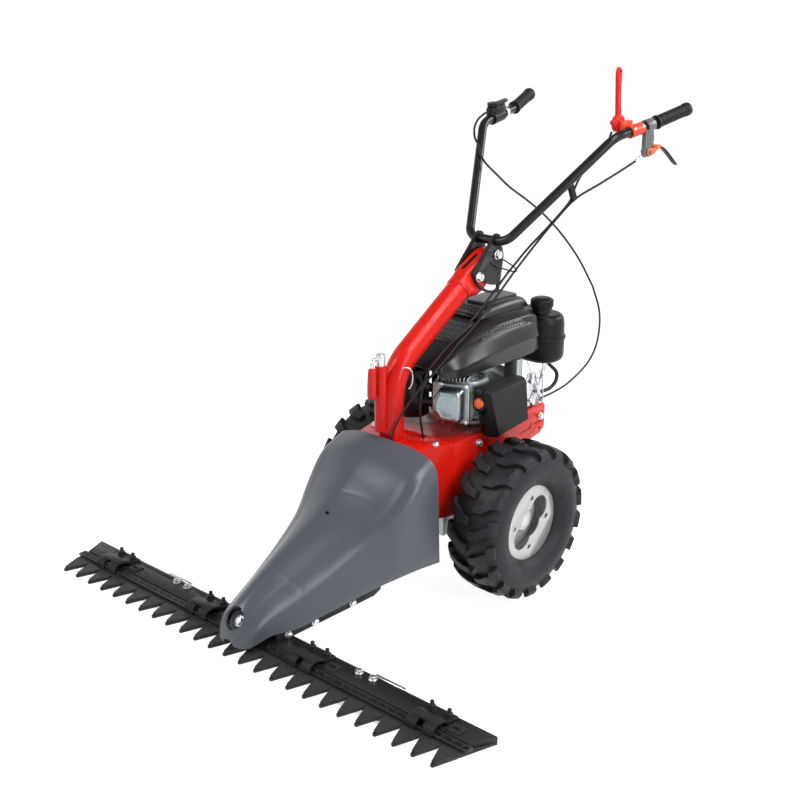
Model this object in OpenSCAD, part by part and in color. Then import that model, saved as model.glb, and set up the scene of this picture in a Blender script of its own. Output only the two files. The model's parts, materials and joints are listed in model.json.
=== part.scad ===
// Two-wheeled sickle bar mower: a reciprocating cutter bar under a cowl, a two-wheel drive unit with a
// vertical-shaft engine, a swivelling steering column and a tilting handlebar.
// +X is the machine's left side, +Y points to the rear and +Z is up. The origin lies on the ground,
// midway between the tooth tips and the ends of the hand grips. All lengths are in millimetres and all angles in degrees.

/* [Wheels] */
// Outside diameter of a tyre
tyre_d = 339; // [332:1:345]
// Width of a tyre
tyre_w = 130; // [122:1:134]
// Height of the tread lugs
lug_h = 13; // [9:1:15]
// Long lugs on each side of the tread
lug_count = 18; // [14:1:20]
// Distance between the middles of the two tyres
track = 386; // [380:1:400]
// Radius of the rim where the tyre sits on it
rim_r = 76; // [72:1:80]
// Distance from the middle of the tyre to the rim's outer face
rim_face = 39; // [35:1:43]
// Thickness of the rim's steel
rim_t = 4; // [3:0.5:5]
// Diameter of the circle of the rim's four holes
rim_hole_circle = 110; // [106:1:114]
// Diameter of each of the rim's four holes
rim_hole_d = 10; // [8:0.5:12]
// Distance of the axle behind the middle of the machine's length
axle_y = 54; // [50:1:58]
// Diameter of the axle
axle_d = 25; // [22:1:28]
// Diameter of a wheel hub
hub_d = 44; // [40:1:48]
// Diameter of the pin that locks a hub on the axle
hub_pin_d = 8; // [6:0.5:9]

/* [Drive] */
// Module of the gear pair
gear_module = 2.5; // [2.2:0.1:2.6]
// Teeth of the gear on the axle
axle_teeth = 40; // [38:1:42]
// Teeth of the drive pinion
pinion_teeth = 16; // [15:1:18]
// Width of the gears
gear_w = 18; // [14:1:24]
// Outside width of the gearbox
case_w = 92; // [86:1:100]
// Wall of the gearbox
case_wall = 10; // [8:1:12]
// Diameter of the drive shaft to the cutter bar
pto_d = 18; // [16:1:20]
// Outside diameter of the tube around that shaft
pto_tube_d = 40; // [38:1:44]
// Height of the drive shaft above the ground
pto_up = 135.5; // [133:0.5:138]

/* [Chassis] */
// Outside width of the chassis
frame_w = 220; // [210:1:230]
// Thickness of the chassis sheet
frame_t = 4; // [3:0.5:5]
// Height of the engine deck above the top of the tyres
deck_clear = 5.5; // [4:0.5:8]
// Front end of the chassis
frame_front = -168; // [-170:1:-166]
// Rear end of the chassis
frame_rear = 256; // [250:1:264]

/* [Cutter bar] */
// Pitch of the teeth
tooth_pitch = 44; // [42:0.5:46]
// Number of teeth
tooth_count = 25; // [23:2:27]
// Distance of the tooth tips in front of the middle of the machine's length
tip_reach = 601; // [598:1:606]
// Length of a tooth
tooth_l = 53; // [48:1:56]
// Depth of the bar from the tooth tips to its back edge
bar_depth = 126; // [123:1:130]
// Thickness of the finger comb
comb_t = 6; // [5:0.5:7]
// Thickness of the beam on the comb
beam_t = 10; // [9:0.5:12]
// Width of the beam
beam_w = 50; // [46:1:52]
// Thickness of a knife section
section_t = 3; // [2.5:0.5:4]
// Thickness of the knife back
knife_back_t = 5; // [4:0.5:6]
// Width of the knife back
knife_back_w = 18; // [16:1:19]
// Thickness of a skid shoe
skid_t = 6; // [5:0.5:8]
// Height of the finger comb above the ground
bar_up = 36; // [34:1:40]
// Distance of a skid shoe from the middle of the machine
skid_x = 293; // [288:1:298]
// Distances of the hold-down clips from the middle of the machine
clip_x = [150, 452];

/* [Cowl] */
// Thickness of the cowl
cowl_t = 4; // [3:0.5:5]

/* [Engine] */
// Distance of the crankshaft behind the axle
engine_y = 140; // [136:1:144]
// Diameter of the crankshaft
crank_d = 25; // [22:1:28]
// Clearance between the crankcase and the side plates
crankcase_clear = 20; // [18:1:24]
// Height of the crankcase
crankcase_h = 86; // [80:1:92]
// Angle of the cylinder to the left of straight ahead
cylinder_turn = 22.5; // [20:0.5:25]
// Radius of the flywheel
flywheel_r = 78; // [70:1:80]
// Wall of the shroud
shroud_t = 3.5; // [3:0.5:4.5]
// Radius of the fuel cap
fuel_cap_r = 26; // [22:1:28]
// Radius of the primer bulb
primer_r = 12; // [10:0.5:13]
// Travel of the primer bulb
primer_travel = 5; // [4:0.5:6]

/* [Column] */
// Outside diameter of the column
column_d = 52; // [50:1:54]
// Wall of the column
column_wall = 4; // [3:0.5:5]
// Distance of the column's axis in front of the axle
column_y = -130; // [-132:1:-128]
// Height of the column's bend above the deck
bend_up = 149; // [146:1:152]
// Slope of the upper column
column_slope = 33.5; // [33:0.5:35]
// Radius of the column's bend
bend_r = 115; // [100:1:120]
// Distance of the tilt bolt from the bend, along the slope
tilt_u = 365; // [360:1:370]
// Diameter of the tilt bolt and the slot bolts
tilt_bolt_d = 11; // [10:0.5:12]
// Radius of the arc slot around the tilt bolt
slot_r = 72; // [70:1:76]
// Width of the column's head
head_w = 41; // [38:1:44]
// Thickness of a bracket plate
plate_t = 5; // [4:0.5:6]
// Diameter of the clamp screw
clamp_d = 12; // [10:1:14]

/* [Handlebar] */
// Diameter of the handlebar tube
bar_d = 20; // [19:0.5:22]
// Wall of the handlebar tube
bar_wall = 2.5; // [2:0.5:3]
// Radius of a hand grip
grip_r = 14.5; // [14:0.5:16]
// Length of a hand grip
grip_l = 104; // [96:1:108]

/* [Fits] */
// Clearance of a shaft in its bearing, on the radius
run_fit = 0.05; // [0.03:0.01:0.08]
// Gap between moving faces
gap = 0.4; // [0.3:0.1:0.6]

/* [Hidden] */
$fn = 64;

// Heights and places that follow from the sizes above
axle_z = tyre_d / 2;
deck_z = tyre_d + deck_clear;
wheel_x = track / 2;
comb_z = bar_up;
beam_z = comb_z + comb_t;
bar_top = beam_z + beam_t;
section_z = beam_z + gap;
knife_z = section_z + section_t;
knife_top = knife_z + knife_back_t;
tooth_root = -(tip_reach - tooth_l);
bar_back = tip_reach - bar_depth;
beam_front = -bar_back - beam_w;
knife_rear = beam_front - 1;
bar_half = (tooth_count / 2) * tooth_pitch;
stroke = tooth_pitch;
pto_z = pto_up;
gear_distance = gear_module * (axle_teeth + pinion_teeth) / 2;
pinion_angle = 50;
pinion_y = axle_y + gear_distance * cos(pinion_angle);
pinion_z = axle_z + gear_distance * sin(pinion_angle);
gear_tip_r = gear_module * (axle_teeth / 2 + 0.9);
case_front = axle_y - (gear_tip_r + 5 + case_wall);
case_back = pinion_y + gear_module * (pinion_teeth / 2 + 1) + 10 + case_wall;
case_bottom = min(axle_z - gear_tip_r - 5, pto_z - pto_tube_d / 2 - 3.25) - case_wall;
case_top = pinion_z + gear_module * (pinion_teeth / 2 + 1) + 8 + case_wall;

// Vectors and curves
function unit(v) = v / norm(v);
function bezier(a, b, c, t) = (1 - t) * (1 - t) * a + 2 * t * (1 - t) * b + t * t * c;
function spline(a, b, c, d, t) =
    0.5 * (2 * b + (c - a) * t + (2 * a - 5 * b + 4 * c - d) * t * t + (3 * b - a - 3 * c + d) * t * t * t);
function smooth(p, steps) = let (last = len(p) - 1) concat(
    [for (i = [0 : last - 1], k = [0 : steps - 1])
        spline(p[max(i - 1, 0)], p[i], p[i + 1], p[min(i + 2, last)], k / steps)],
    [p[last]]);

// A corner of a bent tube: an arc of radius r from the line a-b to the line b-c
function corner(a, b, c, r, steps) = let (
        u = unit(a - b), v = unit(c - b), half = acos(u * v) / 2,
        middle = b + unit(u + v) * r / sin(half), from = b + u * r / tan(half),
        x = unit(from - middle), y = unit(v - x * (v * x)), sweep = 180 - 2 * half)
    [for (k = [0 : steps]) middle + r * (x * cos(sweep * k / steps) + y * sin(sweep * k / steps))];

// Directions along a path, and a side direction that is carried along without twist
function headings(p) = [for (i = [0 : len(p) - 1]) unit(p[min(i + 1, len(p) - 1)] - p[max(i - 1, 0)])];
function carried(t, n, i) = i == len(t) ? [] : let (m = unit(n - t[i] * (n * t[i]))) concat([m],
    carried(t, m, i + 1));
function rings(p, r, sides) = let (t = headings(p), n = carried(t, cross(t[0], [0.31, 0.52, 0.79]), 0))
    [for (i = [0 : len(p) - 1], k = [0 : sides - 1])
        p[i] + r * (cos(360 * k / sides) * n[i] + sin(360 * k / sides) * cross(t[i], n[i]))];
function wall_faces(count, sides, first) = [for (i = [0 : count - 2], k = [0 : sides - 1])
    let (a = first + i * sides + k, b = first + i * sides + (k + 1) % sides)
    each [[a, a + sides, b + sides], [a, b + sides, b]]];
function flipped(faces) = [for (f = faces) [f[0], f[2], f[1]]];

// A solid rod along a path
module rod(path, r, sides) {
    count = len(path);
    last = (count - 1) * sides;
    ends = [for (k = [1 : sides - 2]) each [[0, k, k + 1], [last, last + k + 1, last + k]]];
    polyhedron(rings(path, r, sides), concat(wall_faces(count, sides, 0), ends), convexity = 10);
}

// A tube along a path, open at both ends
module pipe(path, r, wall, sides) {
    count = len(path);
    inner = count * sides;
    last = inner - sides;
    ends = [for (k = [0 : sides - 1]) let (n = (k + 1) % sides) each [
        [k, n, inner + n], [k, inner + n, inner + k],
        [last + k, inner + last + n, last + n], [last + k, inner + last + k, inner + last + n]]];
    polyhedron(concat(rings(path, r, sides), rings(path, r - wall, sides)),
        concat(wall_faces(count, sides, 0), flipped(wall_faces(count, sides, inner)), ends),
            convexity = 10);
}

// Moves the children to a point, with their +Z along a direction
module along(p, d) {
    translate(p) rotate([0, acos(d[2] / norm(d)), atan2(d[1], d[0])]) children();
}
module both_sides() {
    children();
    mirror([1, 0, 0]) children();
}
// A cylinder along +X from x0 to x1
module x_rod(x0, x1, r) {
    translate([x0, 0, 0]) rotate([0, 90, 0]) cylinder(h = x1 - x0, r = r);
}
// A cylinder along +Y from y0 to y1
module y_rod(y0, y1, r) {
    translate([0, y0, 0]) rotate([-90, 0, 0]) cylinder(h = y1 - y0, r = r);
}
// An outline in Y and Z, extruded along X from x0 to x1
module side_slab(x0, x1, outline) {
    translate([x0, 0, 0]) rotate([90, 0, 90]) linear_extrude(x1 - x0) polygon(outline);
}
module block(low, high) {
    translate(low) cube(high - low);
}
// A hexagon bolt whose head stands on z = 0
module hex_bolt(d, shank) {
    cylinder(h = 0.65 * d, d = 1.85 * d, $fn = 6);
    translate([0, 0, -shank]) cylinder(h = shank, d = d);
}

// Wheels

lug_ring_r = tyre_d / 2 - lug_h;
carcass_t = 9;
// The tread starts a little off the valve
tread_turn = 3.7;
// Outer half of the carcass section, as [radius, distance from the middle]
function sidewall(inset) = let (w = tyre_w / 2 - inset, r = lug_ring_r - inset, low = rim_r + 7 + inset / 2)
    [for (k = [0 : 6]) bezier([low, rim_face - rim_t + 2 - inset / 2], [(low + r) / 2 - 6, 2 * w - 49],
        [r, w - 16], k / 6)];
// A long lug and a shoulder block, as outlines along the axle and around the tread
long_lug = [[2, -11], [2, 7], [20, 9], [40, 24], [72, 34], [72, 16], [44, 5], [26, -11]];
shoulder_block = [[46, -9], [50, 8], [72, 14], [72, -6]];

module tyre() {
    lug_low = lug_ring_r - 8;
    color("#242426") translate([wheel_x, axle_y, axle_z]) {
        union() {
            rotate([0, 90, 0]) rotate_extrude() {
                outer = sidewall(0);
                inner = sidewall(carcass_t);
                half = concat([[rim_r + run_fit, rim_face - rim_t - 8], [rim_r + run_fit, rim_face - rim_t],
                    [rim_r + 7, rim_face - rim_t]], outer);
                half_in = concat([[rim_r + run_fit, rim_face - rim_t - 8]], inner);
                polygon(concat(half, [for (i = [len(half) - 1 : -1 : 0]) [half[i][0], -half[i][1]]],
                    [for (p = half_in) [p[0], -p[1]]], [for (i = [len(half_in) - 1 : -1 : 1]) half_in[i]]));
            }
            intersection() {
                rotate([0, 90, 0]) rotate_extrude() {
                    // The lugs stand between the tread's outside and the middle of the carcass wall
                    under = sidewall(carcass_t / 2);
                    half = concat([[tyre_d / 2, tyre_w / 4], [tyre_d / 2 - 7, tyre_w / 2 - 8],
                        [tyre_d / 2 - 28, tyre_w / 2]], [for (k = [3 : 6]) under[k]]);
                    polygon(concat(half, [for (i = [len(half) - 1 : -1 : 0]) [half[i][0], -half[i][1]]]));
                }
                for (i = [0 : lug_count - 1], side = [0, 1])
                    rotate([360 * (i + side / 2) / lug_count + tread_turn, 0, 0]) mirror([side, 0, 0]) {
                        translate([0, 0, lug_low - 20]) linear_extrude(60) polygon(long_lug);
                        rotate([-195 / lug_count, 0, 0]) translate([0, 0, lug_low - 20]) linear_extrude(60)
                            polygon(shoulder_block);
                    }
            }
        }
    }
}
module left_tyre() { tyre(); }
module right_tyre() { mirror([1, 0, 0]) tyre(); }

disc_x = -4;
slot_tilt = -17;
module rim() {
    hole_r = rim_hole_circle / 2;
    color("#c9cdd0") translate([wheel_x, axle_y, axle_z]) difference() {
        rotate([0, 90, 0]) rotate_extrude() polygon([
            [hub_d / 2 + run_fit, disc_x], [rim_r - rim_t, disc_x], [rim_r - rim_t, -rim_face],
                [rim_r + 6, -rim_face],
            [rim_r + 6, rim_t - rim_face], [rim_r, rim_t - rim_face], [rim_r, rim_face - rim_t],
            [rim_r + 6, rim_face - rim_t], [rim_r + 6, rim_face], [10, rim_face], [10, rim_face - rim_t],
            [rim_r - rim_t, rim_face - rim_t], [rim_r - rim_t, disc_x + rim_t], [hub_d / 2 + run_fit,
                disc_x + rim_t]]);
        rotate([slot_tilt, 0, 0]) {
            x_rod(rim_face - 2 * rim_t, rim_face + 1, 32);
            for (s = [-1, 1]) translate([0, 0, 38 * s]) x_rod(rim_face - 2 * rim_t, rim_face + 1, 27);
            block([rim_face - 2 * rim_t, -21, -38], [rim_face + 1, 21, 38]);
            for (a = [45 : 90 : 315]) rotate([a, 0, 0]) translate([0, 0, hole_r])
                x_rod(rim_face - 2 * rim_t, rim_face + 1, rim_hole_d / 2);
        }
    }
}
module left_rim() { rim(); }
module right_rim() { mirror([1, 0, 0]) rim(); }

hub_end = wheel_x + 22;
module wheel_hubs() {
    color("#8d9194") both_sides() translate([0, axle_y, axle_z]) {
        difference() {
            union() {
                x_rod(wheel_x - 44, hub_end, hub_d / 2);
                x_rod(wheel_x + disc_x - 6, wheel_x + disc_x, rim_r - rim_t - 8);
            }
            x_rod(wheel_x - 45, hub_end + 1, axle_d / 2 + run_fit);
            translate([hub_end - 10, 0, -hub_d]) cylinder(h = 2 * hub_d, d = hub_pin_d + 2 * run_fit);
        }
        translate([hub_end - 10, 0, -hub_d / 2 - 4]) cylinder(h = hub_d + 8, d = hub_pin_d);
    }
}
module axle_shaft() {
    color("#9a9ea1") translate([0, axle_y, axle_z]) difference() {
        x_rod(-hub_end, hub_end, axle_d / 2);
        for (s = [-1, 1]) translate([s * (hub_end - 10), 0, -hub_d]) cylinder(h = 2 * hub_d,
            d = hub_pin_d + 2 * run_fit);
    }
}

pinion_shaft_r = 8;
// Gears, as involute teeth on a root circle
function involute(base, r) = let (a = acos(min(1, base / r))) tan(a) * 180 / PI - a;
function tooth_flank(teeth, r) = let (pitch = gear_module * teeth / 2, base = pitch * cos(20))
    90 / teeth - 4 / teeth + involute(base, pitch) - involute(base, max(r, base));
module gear(teeth, bore) {
    pitch = gear_module * teeth / 2;
    low = pitch - 1.2 * gear_module;
    high = pitch + 0.9 * gear_module;
    difference() {
        linear_extrude(gear_w, center = true) polygon([for (i = [0 : teeth - 1], s = [-1, 1], k = [0 : 4])
            let (r = low + (high - low) * (s < 0 ? k : 4 - k) / 4, a = 360 * i / teeth
                + s * tooth_flank(teeth, r))
            r * [cos(a), sin(a)]]);
        cylinder(h = 2 * gear_w, r = bore, center = true);
    }
}
module axle_gear() {
    color("#777b7e") translate([0, axle_y, axle_z]) rotate([0, 90, 0]) rotate(pinion_angle + 90)
        rotate(180 / axle_teeth) gear(axle_teeth, axle_d / 2 + run_fit);
}
module drive_pinion() {
    color("#777b7e") translate([0, pinion_y, pinion_z]) {
        rotate([0, 90, 0]) rotate(pinion_angle + 270) gear(pinion_teeth, pinion_shaft_r - 2);
        x_rod(-case_w / 2, case_w / 2, pinion_shaft_r);
    }
}

// Gearbox

cover_x = -case_w / 2 + case_wall + 2;
case_outline = [[case_front, case_bottom], [case_front, case_top - 40], [case_front + 30, case_top],
    [case_back, case_top], [case_back, axle_z - 10], [case_back - 30, case_bottom]];
function inset_outline(d) = [[case_front + d, case_bottom + d], [case_front + d, case_top - 40],
    [case_front + 30, case_top - d], [case_back - d, case_top - d], [case_back - d, axle_z - 5],
    [case_back - 32, case_bottom + d]];
bush_r = axle_d / 2 + 7;
bell_r = 60;
bell_low = case_top - 30;
module case_bores() {
    translate([0, axle_y, axle_z]) x_rod(-case_w, case_w, bush_r + run_fit);
    translate([0, pinion_y, pinion_z]) x_rod(-case_w, case_w, pinion_shaft_r + run_fit);
}
module gearbox_case() {
    color("#85898c") difference() {
        union() {
            side_slab(cover_x, case_w / 2, case_outline);
            translate([0, engine_y, bell_low]) cylinder(h = deck_z - frame_t - bell_low, r = bell_r);
        }
        side_slab(cover_x - 1, case_w / 2 - case_wall, inset_outline(case_wall));
        translate([0, engine_y, bell_low + 6]) cylinder(h = deck_z - bell_low, r = bell_r - 6);
        case_bores();
        translate([0, 0, pto_z]) y_rod(case_front - 1, case_front + case_wall + 1, pto_d / 2 + 2);
        block([-case_w, case_front - 1, case_bottom - 1], [cover_x, engine_y + bell_r + 1, case_top + 0.2]);
    }
}
module gearbox_cover() {
    color("#7c8083") difference() {
        side_slab(-case_w / 2, cover_x, case_outline);
        side_slab(-case_w / 2 + case_wall, cover_x + 1, inset_outline(case_wall));
        case_bores();
    }
}
module axle_bushes() {
    color("#b08d57") both_sides() translate([0, axle_y, axle_z]) difference() {
        x_rod(case_w / 2 - case_wall, case_w / 2 + 4, bush_r);
        x_rod(case_w / 4, case_w, axle_d / 2 + run_fit);
    }
}

// Chassis

side_top = deck_z + 3;
taper_y = -58;
nose_half = 84;
step_y = -142;
tongue_half = 40;
side_outline = [[taper_y, axle_z + 16], [taper_y, side_top], [40, side_top], [frame_rear - 6,
    side_top + 12],
    [frame_rear, side_top + 6], [frame_rear, deck_z - 40], [frame_rear - 14, deck_z - 54],
    [engine_y + 40, deck_z - 65], [110, axle_z + 50], [80, axle_z + 24], [0, axle_z + 16]];
deck_bolt_x = frame_w / 2 - 24;
deck_bolt_y = -88;
side_bolt = [23, deck_z - 18];
rear_bolt = [frame_rear - 16, deck_z - 14];
crankcase_r = frame_w / 2 - frame_t - crankcase_clear;
engine_bolt_r = crankcase_r + 9;
engine_bolt_turn = [40, 140, 220, 320];
bolt_d = 8;
module chassis_deck() {
    color("#d3201f") difference() {
        union() {
            // Deck plate between the side plates
            block([-frame_w / 2 + frame_t, taper_y, deck_z - frame_t],
                [frame_w / 2 - frame_t, frame_rear - frame_t, deck_z]);
            // Front box, narrower towards the front
            difference() {
                front_box(0, axle_z + 16, side_top);
                front_box(frame_t, axle_z, side_top - frame_t);
            }
            // Rear plate
            block([-frame_w / 2 + frame_t, frame_rear - 2 * frame_t, deck_z - 45],
                [frame_w / 2 - frame_t, frame_rear - frame_t, deck_z]);
        }
        translate([0, engine_y, 0]) cylinder(h = 2 * deck_z, r = bell_r - 6);
        for (s = [-1, 1]) translate([s * deck_bolt_x, deck_bolt_y, deck_z - 20]) cylinder(h = 40,
            d = bolt_d + 0.2);
        for (a = engine_bolt_turn) translate([engine_bolt_r * cos(a), engine_y
            + engine_bolt_r * sin(a), deck_z - 20])
            cylinder(h = 40, d = bolt_d + 0.2);
        translate([0, 0, pto_z]) y_rod(frame_front - 10, taper_y, pto_tube_d / 2 + 6);
        // Slot behind the column for the drive cable
        translate([38, taper_y - 14, side_top - 10]) cylinder(h = 20, r = 6);
    }
}
module front_box(inset, low, high) {
    back = taper_y + (inset > 0 ? 1 : 0);
    right = [[-frame_w / 2 + inset, back], [-nose_half + inset, step_y + inset], [-tongue_half + inset,
        step_y + inset],
        [-tongue_half + inset, frame_front + inset]];
    translate([0, 0, low]) linear_extrude(high - low) polygon(concat(right, [for (i = [3 : -1 : 0])
        [-right[i][0], right[i][1]]]));
}
module side_plate() {
    color("#d3201f") difference() {
        side_slab(frame_w / 2 - frame_t, frame_w / 2, side_outline);
        for (p = [side_bolt, rear_bolt]) translate([0, p[0], p[1]]) x_rod(0, frame_w, bolt_d / 2 + 0.1);
    }
}
module left_side_plate() { side_plate(); }
module right_side_plate() { mirror([1, 0, 0]) side_plate(); }

// Bolts of the chassis, the carrier, the skids and the cowl's nose
nose_bolt_y = 44 - tip_reach;
nose_bolt_z = bar_up + 50;
nose_bolt_tilt = 52;
carrier_bolts = [163 - bar_back, 57 - bar_back, -bar_back - 15];
skid_bolt_x = [skid_x - 43, skid_x - 8];
skid_bolt_y = -bar_back - 11;
carrier_x = 56;
carrier_t = 6;
module zinc_bolts() {
    color("#cdd1d4") {
        both_sides() {
            translate([deck_bolt_x, deck_bolt_y, side_top]) hex_bolt(bolt_d, frame_t + 6);
            for (p = [side_bolt, rear_bolt]) translate([frame_w / 2, p[0], p[1]]) rotate([0, 90, 0])
                hex_bolt(bolt_d, frame_t + 4);
            for (y = carrier_bolts) translate([carrier_x + carrier_t, y, bar_top + 9]) rotate([0, 90, 0])
                hex_bolt(bolt_d, carrier_t + 3);
            for (x = skid_bolt_x) translate([x, skid_bolt_y, bar_top]) hex_bolt(bolt_d,
                bar_top - bar_up + skid_t);
        }
        for (a = engine_bolt_turn) translate([engine_bolt_r * cos(a), engine_y
            + engine_bolt_r * sin(a), deck_z + 10])
            hex_bolt(bolt_d, 20);
        translate([0, nose_bolt_y, nose_bolt_z]) rotate([nose_bolt_tilt, 0, 0]) {
            hex_bolt(bolt_d, 12);
        }
    }
}

// Drive to the cutter bar

pivot_y = 45 - bar_back;
knife_pin_y = knife_rear - knife_back_w / 2 - 4;
lever_r = pivot_y - knife_pin_y;
fork_r = 24;
swing = asin(stroke / 2 / lever_r);
throw = fork_r * sin(swing);
crank_pin_r = 5;
fork_high = 11;
fork_back = fork_r + 2;
fork_half = crank_pin_r + 2 * throw + 0.6;
shaft_front = pivot_y + fork_r + 14;
drive_case = [pivot_y - 26, shaft_front + 24];
drive_low = bar_top + 20;
lever_low = knife_top + 4;
lever_t = drive_low - 4 - 1 - lever_low;
pivot_r = 10;
module drive_tube() {
    tube_r = pto_tube_d / 2;
    color("#3a3b3d") translate([0, 0, pto_z]) difference() {
        union() {
            y_rod(drive_case[1], case_front, tube_r);
            y_rod(case_front - 6, case_front, tube_r + 6);
        }
        y_rod(drive_case[1] + 14, case_front - 12, tube_r - 4);
        y_rod(drive_case[1] - 1, case_front + 1, pto_d / 2 + run_fit);
    }
}
module drive_shaft() {
    color("#9a9ea1") translate([0, 0, pto_z]) {
        y_rod(shaft_front, case_front + case_wall + 2, pto_d / 2);
        y_rod(shaft_front - 5, shaft_front, pto_d / 2 + 4);
        translate([0, 0, throw]) y_rod(shaft_front - 17, shaft_front - 5, crank_pin_r);
    }
}
// Room for the swinging fork inside the case
drive_half = norm([fork_half + 5 + fork_back * sin(swing), fork_high]) + 1;
module drive_form(inset, low) {
    r = drive_half + 7 - inset;
    translate([0, drive_case[0] + inset, 0]) rotate([-90, 0, 0])
        linear_extrude(drive_case[1] - drive_case[0] - 2 * inset)
        union() {
            translate([0, -pto_z]) circle(r = r);
            polygon([[-r, -pto_z], [-r, -low], [r, -low], [r, -pto_z]]);
        }
}
module bar_drive_case() {
    color("#2c2d2f") difference() {
        union() {
            difference() {
                drive_form(0, drive_low);
                drive_form(7, drive_low + 7);
            }
            translate([0, pivot_y, drive_low]) cylinder(h = pto_z - 19 - drive_low, r = pivot_r + 8);
            // Strap that the cowl's nose is bolted to
            nose_place() block([-strap_half - 1, -8, -8], [strap_half + 1, 24, -4]);
            side_slab(-strap_half, strap_half, [[nose_bolt_y + 13, nose_bolt_z + 16], [nose_bolt_y
                + 16, nose_bolt_z + 12],
                [drive_case[0], pto_z - 20], [drive_case[0], pto_z - 14], [nose_bolt_y + 20,
                    nose_bolt_z + 16]]);
        }
        nose_place() translate([0, 0, -20]) cylinder(h = 30, d = bolt_d + 0.2);
        translate([0, pivot_y, drive_low - 1]) cylinder(h = pto_z, r = pivot_r + run_fit);
        translate([0, 0, pto_z]) y_rod(drive_case[1] - 8, drive_case[1] + 1, pto_d / 2 + 2);
    }
}
strap_half = 12;
module nose_place() {
    translate([0, nose_bolt_y, nose_bolt_z]) rotate([nose_bolt_tilt, 0, 0]) children();
}
module swing_lever() {
    color("#55585b") {
        translate([0, pivot_y, lever_low]) cylinder(h = pto_z + fork_high - lever_low, r = pivot_r);
        block([-5.5, knife_pin_y, lever_low], [5.5, pivot_y, lever_low + lever_t]);
        translate([0, knife_pin_y, lever_low]) cylinder(h = lever_t, r = 9);
        translate([0, pivot_y, lever_low]) cylinder(h = lever_t, r = 17);
        difference() {
            block([-fork_half - 5, pivot_y - 12, pto_z - fork_high], [fork_half + 5, pivot_y
                + fork_back, pto_z + fork_high]);
            block([-fork_half, pivot_y + 12, pto_z - 20], [fork_half, pivot_y + fork_r + 10, pto_z + 20]);
        }
    }
}
carrier_front = beam_front + 8;
carrier_back = 247 - bar_back;
module bar_carrier() {
    color("#1f2022") difference() {
        union() {
            both_sides() {
                side_slab(carrier_x, carrier_x + carrier_t, [[carrier_front, bar_top], [carrier_front,
                    bar_top + 18],
                    [carrier_back - 40, bar_top + 22], [carrier_back, bar_top + 16], [carrier_back,
                        bar_top + 8],
                    [carrier_back - 20, bar_top]]);
                block([carrier_x - 22, carrier_front, bar_top], [carrier_x, -bar_back - 4, bar_top + 5]);
            }
            block([-carrier_x, drive_case[0], drive_low - 4], [carrier_x, drive_case[1], drive_low]);
            block([-carrier_x, carrier_back - 30, bar_top + 4], [carrier_x, carrier_back - 22,
                bar_top + 14]);
        }
        translate([0, pivot_y, drive_low - 10]) cylinder(h = 20, r = pivot_r + 2);
        for (y = carrier_bolts) translate([0, y, bar_top + 9]) {
            x_rod(carrier_x - 4, carrier_x + carrier_t + 1, bolt_d / 2 + 0.1);
            x_rod(-carrier_x - carrier_t - 1, -carrier_x + 4, bolt_d / 2 + 0.1);
        }
    }
}

// Cowl, as sections from the nose to the rear edge.
// Each row holds the way behind the nose, the crown's height, the ridge's half width and height, and the bottom
// edge's half width and height. Heights are above the underside of the finger comb.
cowl_rows = [
    [0, 28, 12, 26, 13, 21],
    [3, 46, 24, 38, 25, 21],
    [13, 66, 36, 48, 38, 21],
    [29, 84, 45, 58, 47, 28],
    [61, 106, 54, 74, 56, 36],
    [117, 136, 68, 94, 70, 36],
    [191, 174, 88, 128, 90, 52],
    [261, 211, 106, 162, 108, 67],
    [301, 241, 122, 178, 116, 74],
    [341, 278, 138, 208, 126, 80],
    [391, 314, 140, 272, 136, 84],
    [445, 326, 139, 300, 148, 86]];
cowl_steps = 3;
top_points = 7;
corner_points = 5;
side_points = 4;
function cowl_half(row, inset) = let (
        crown = [0, row[1] - 1.3 * inset], ridge = [row[2] - inset, row[3] - inset],
            edge = [row[4] - inset, row[5]],
        before = ridge + (crown - ridge) * 0.38, after = ridge + (edge - ridge) * 0.34,
            lean = [before[0] * 0.6, crown[1]])
    concat([for (k = [0 : top_points - 1]) bezier(crown, lean, before, k / top_points)],
        [for (k = [0 : corner_points - 1]) bezier(before, ridge, after, k / corner_points)],
        [for (k = [0 : side_points]) after + (edge - after) * k / side_points]);
function cowl_section(row, inset) = let (half = cowl_half(row, inset), last = len(half) - 1)
    concat([for (i = [last : -1 : 1]) [-half[i][0], half[i][1]]], half);
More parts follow.
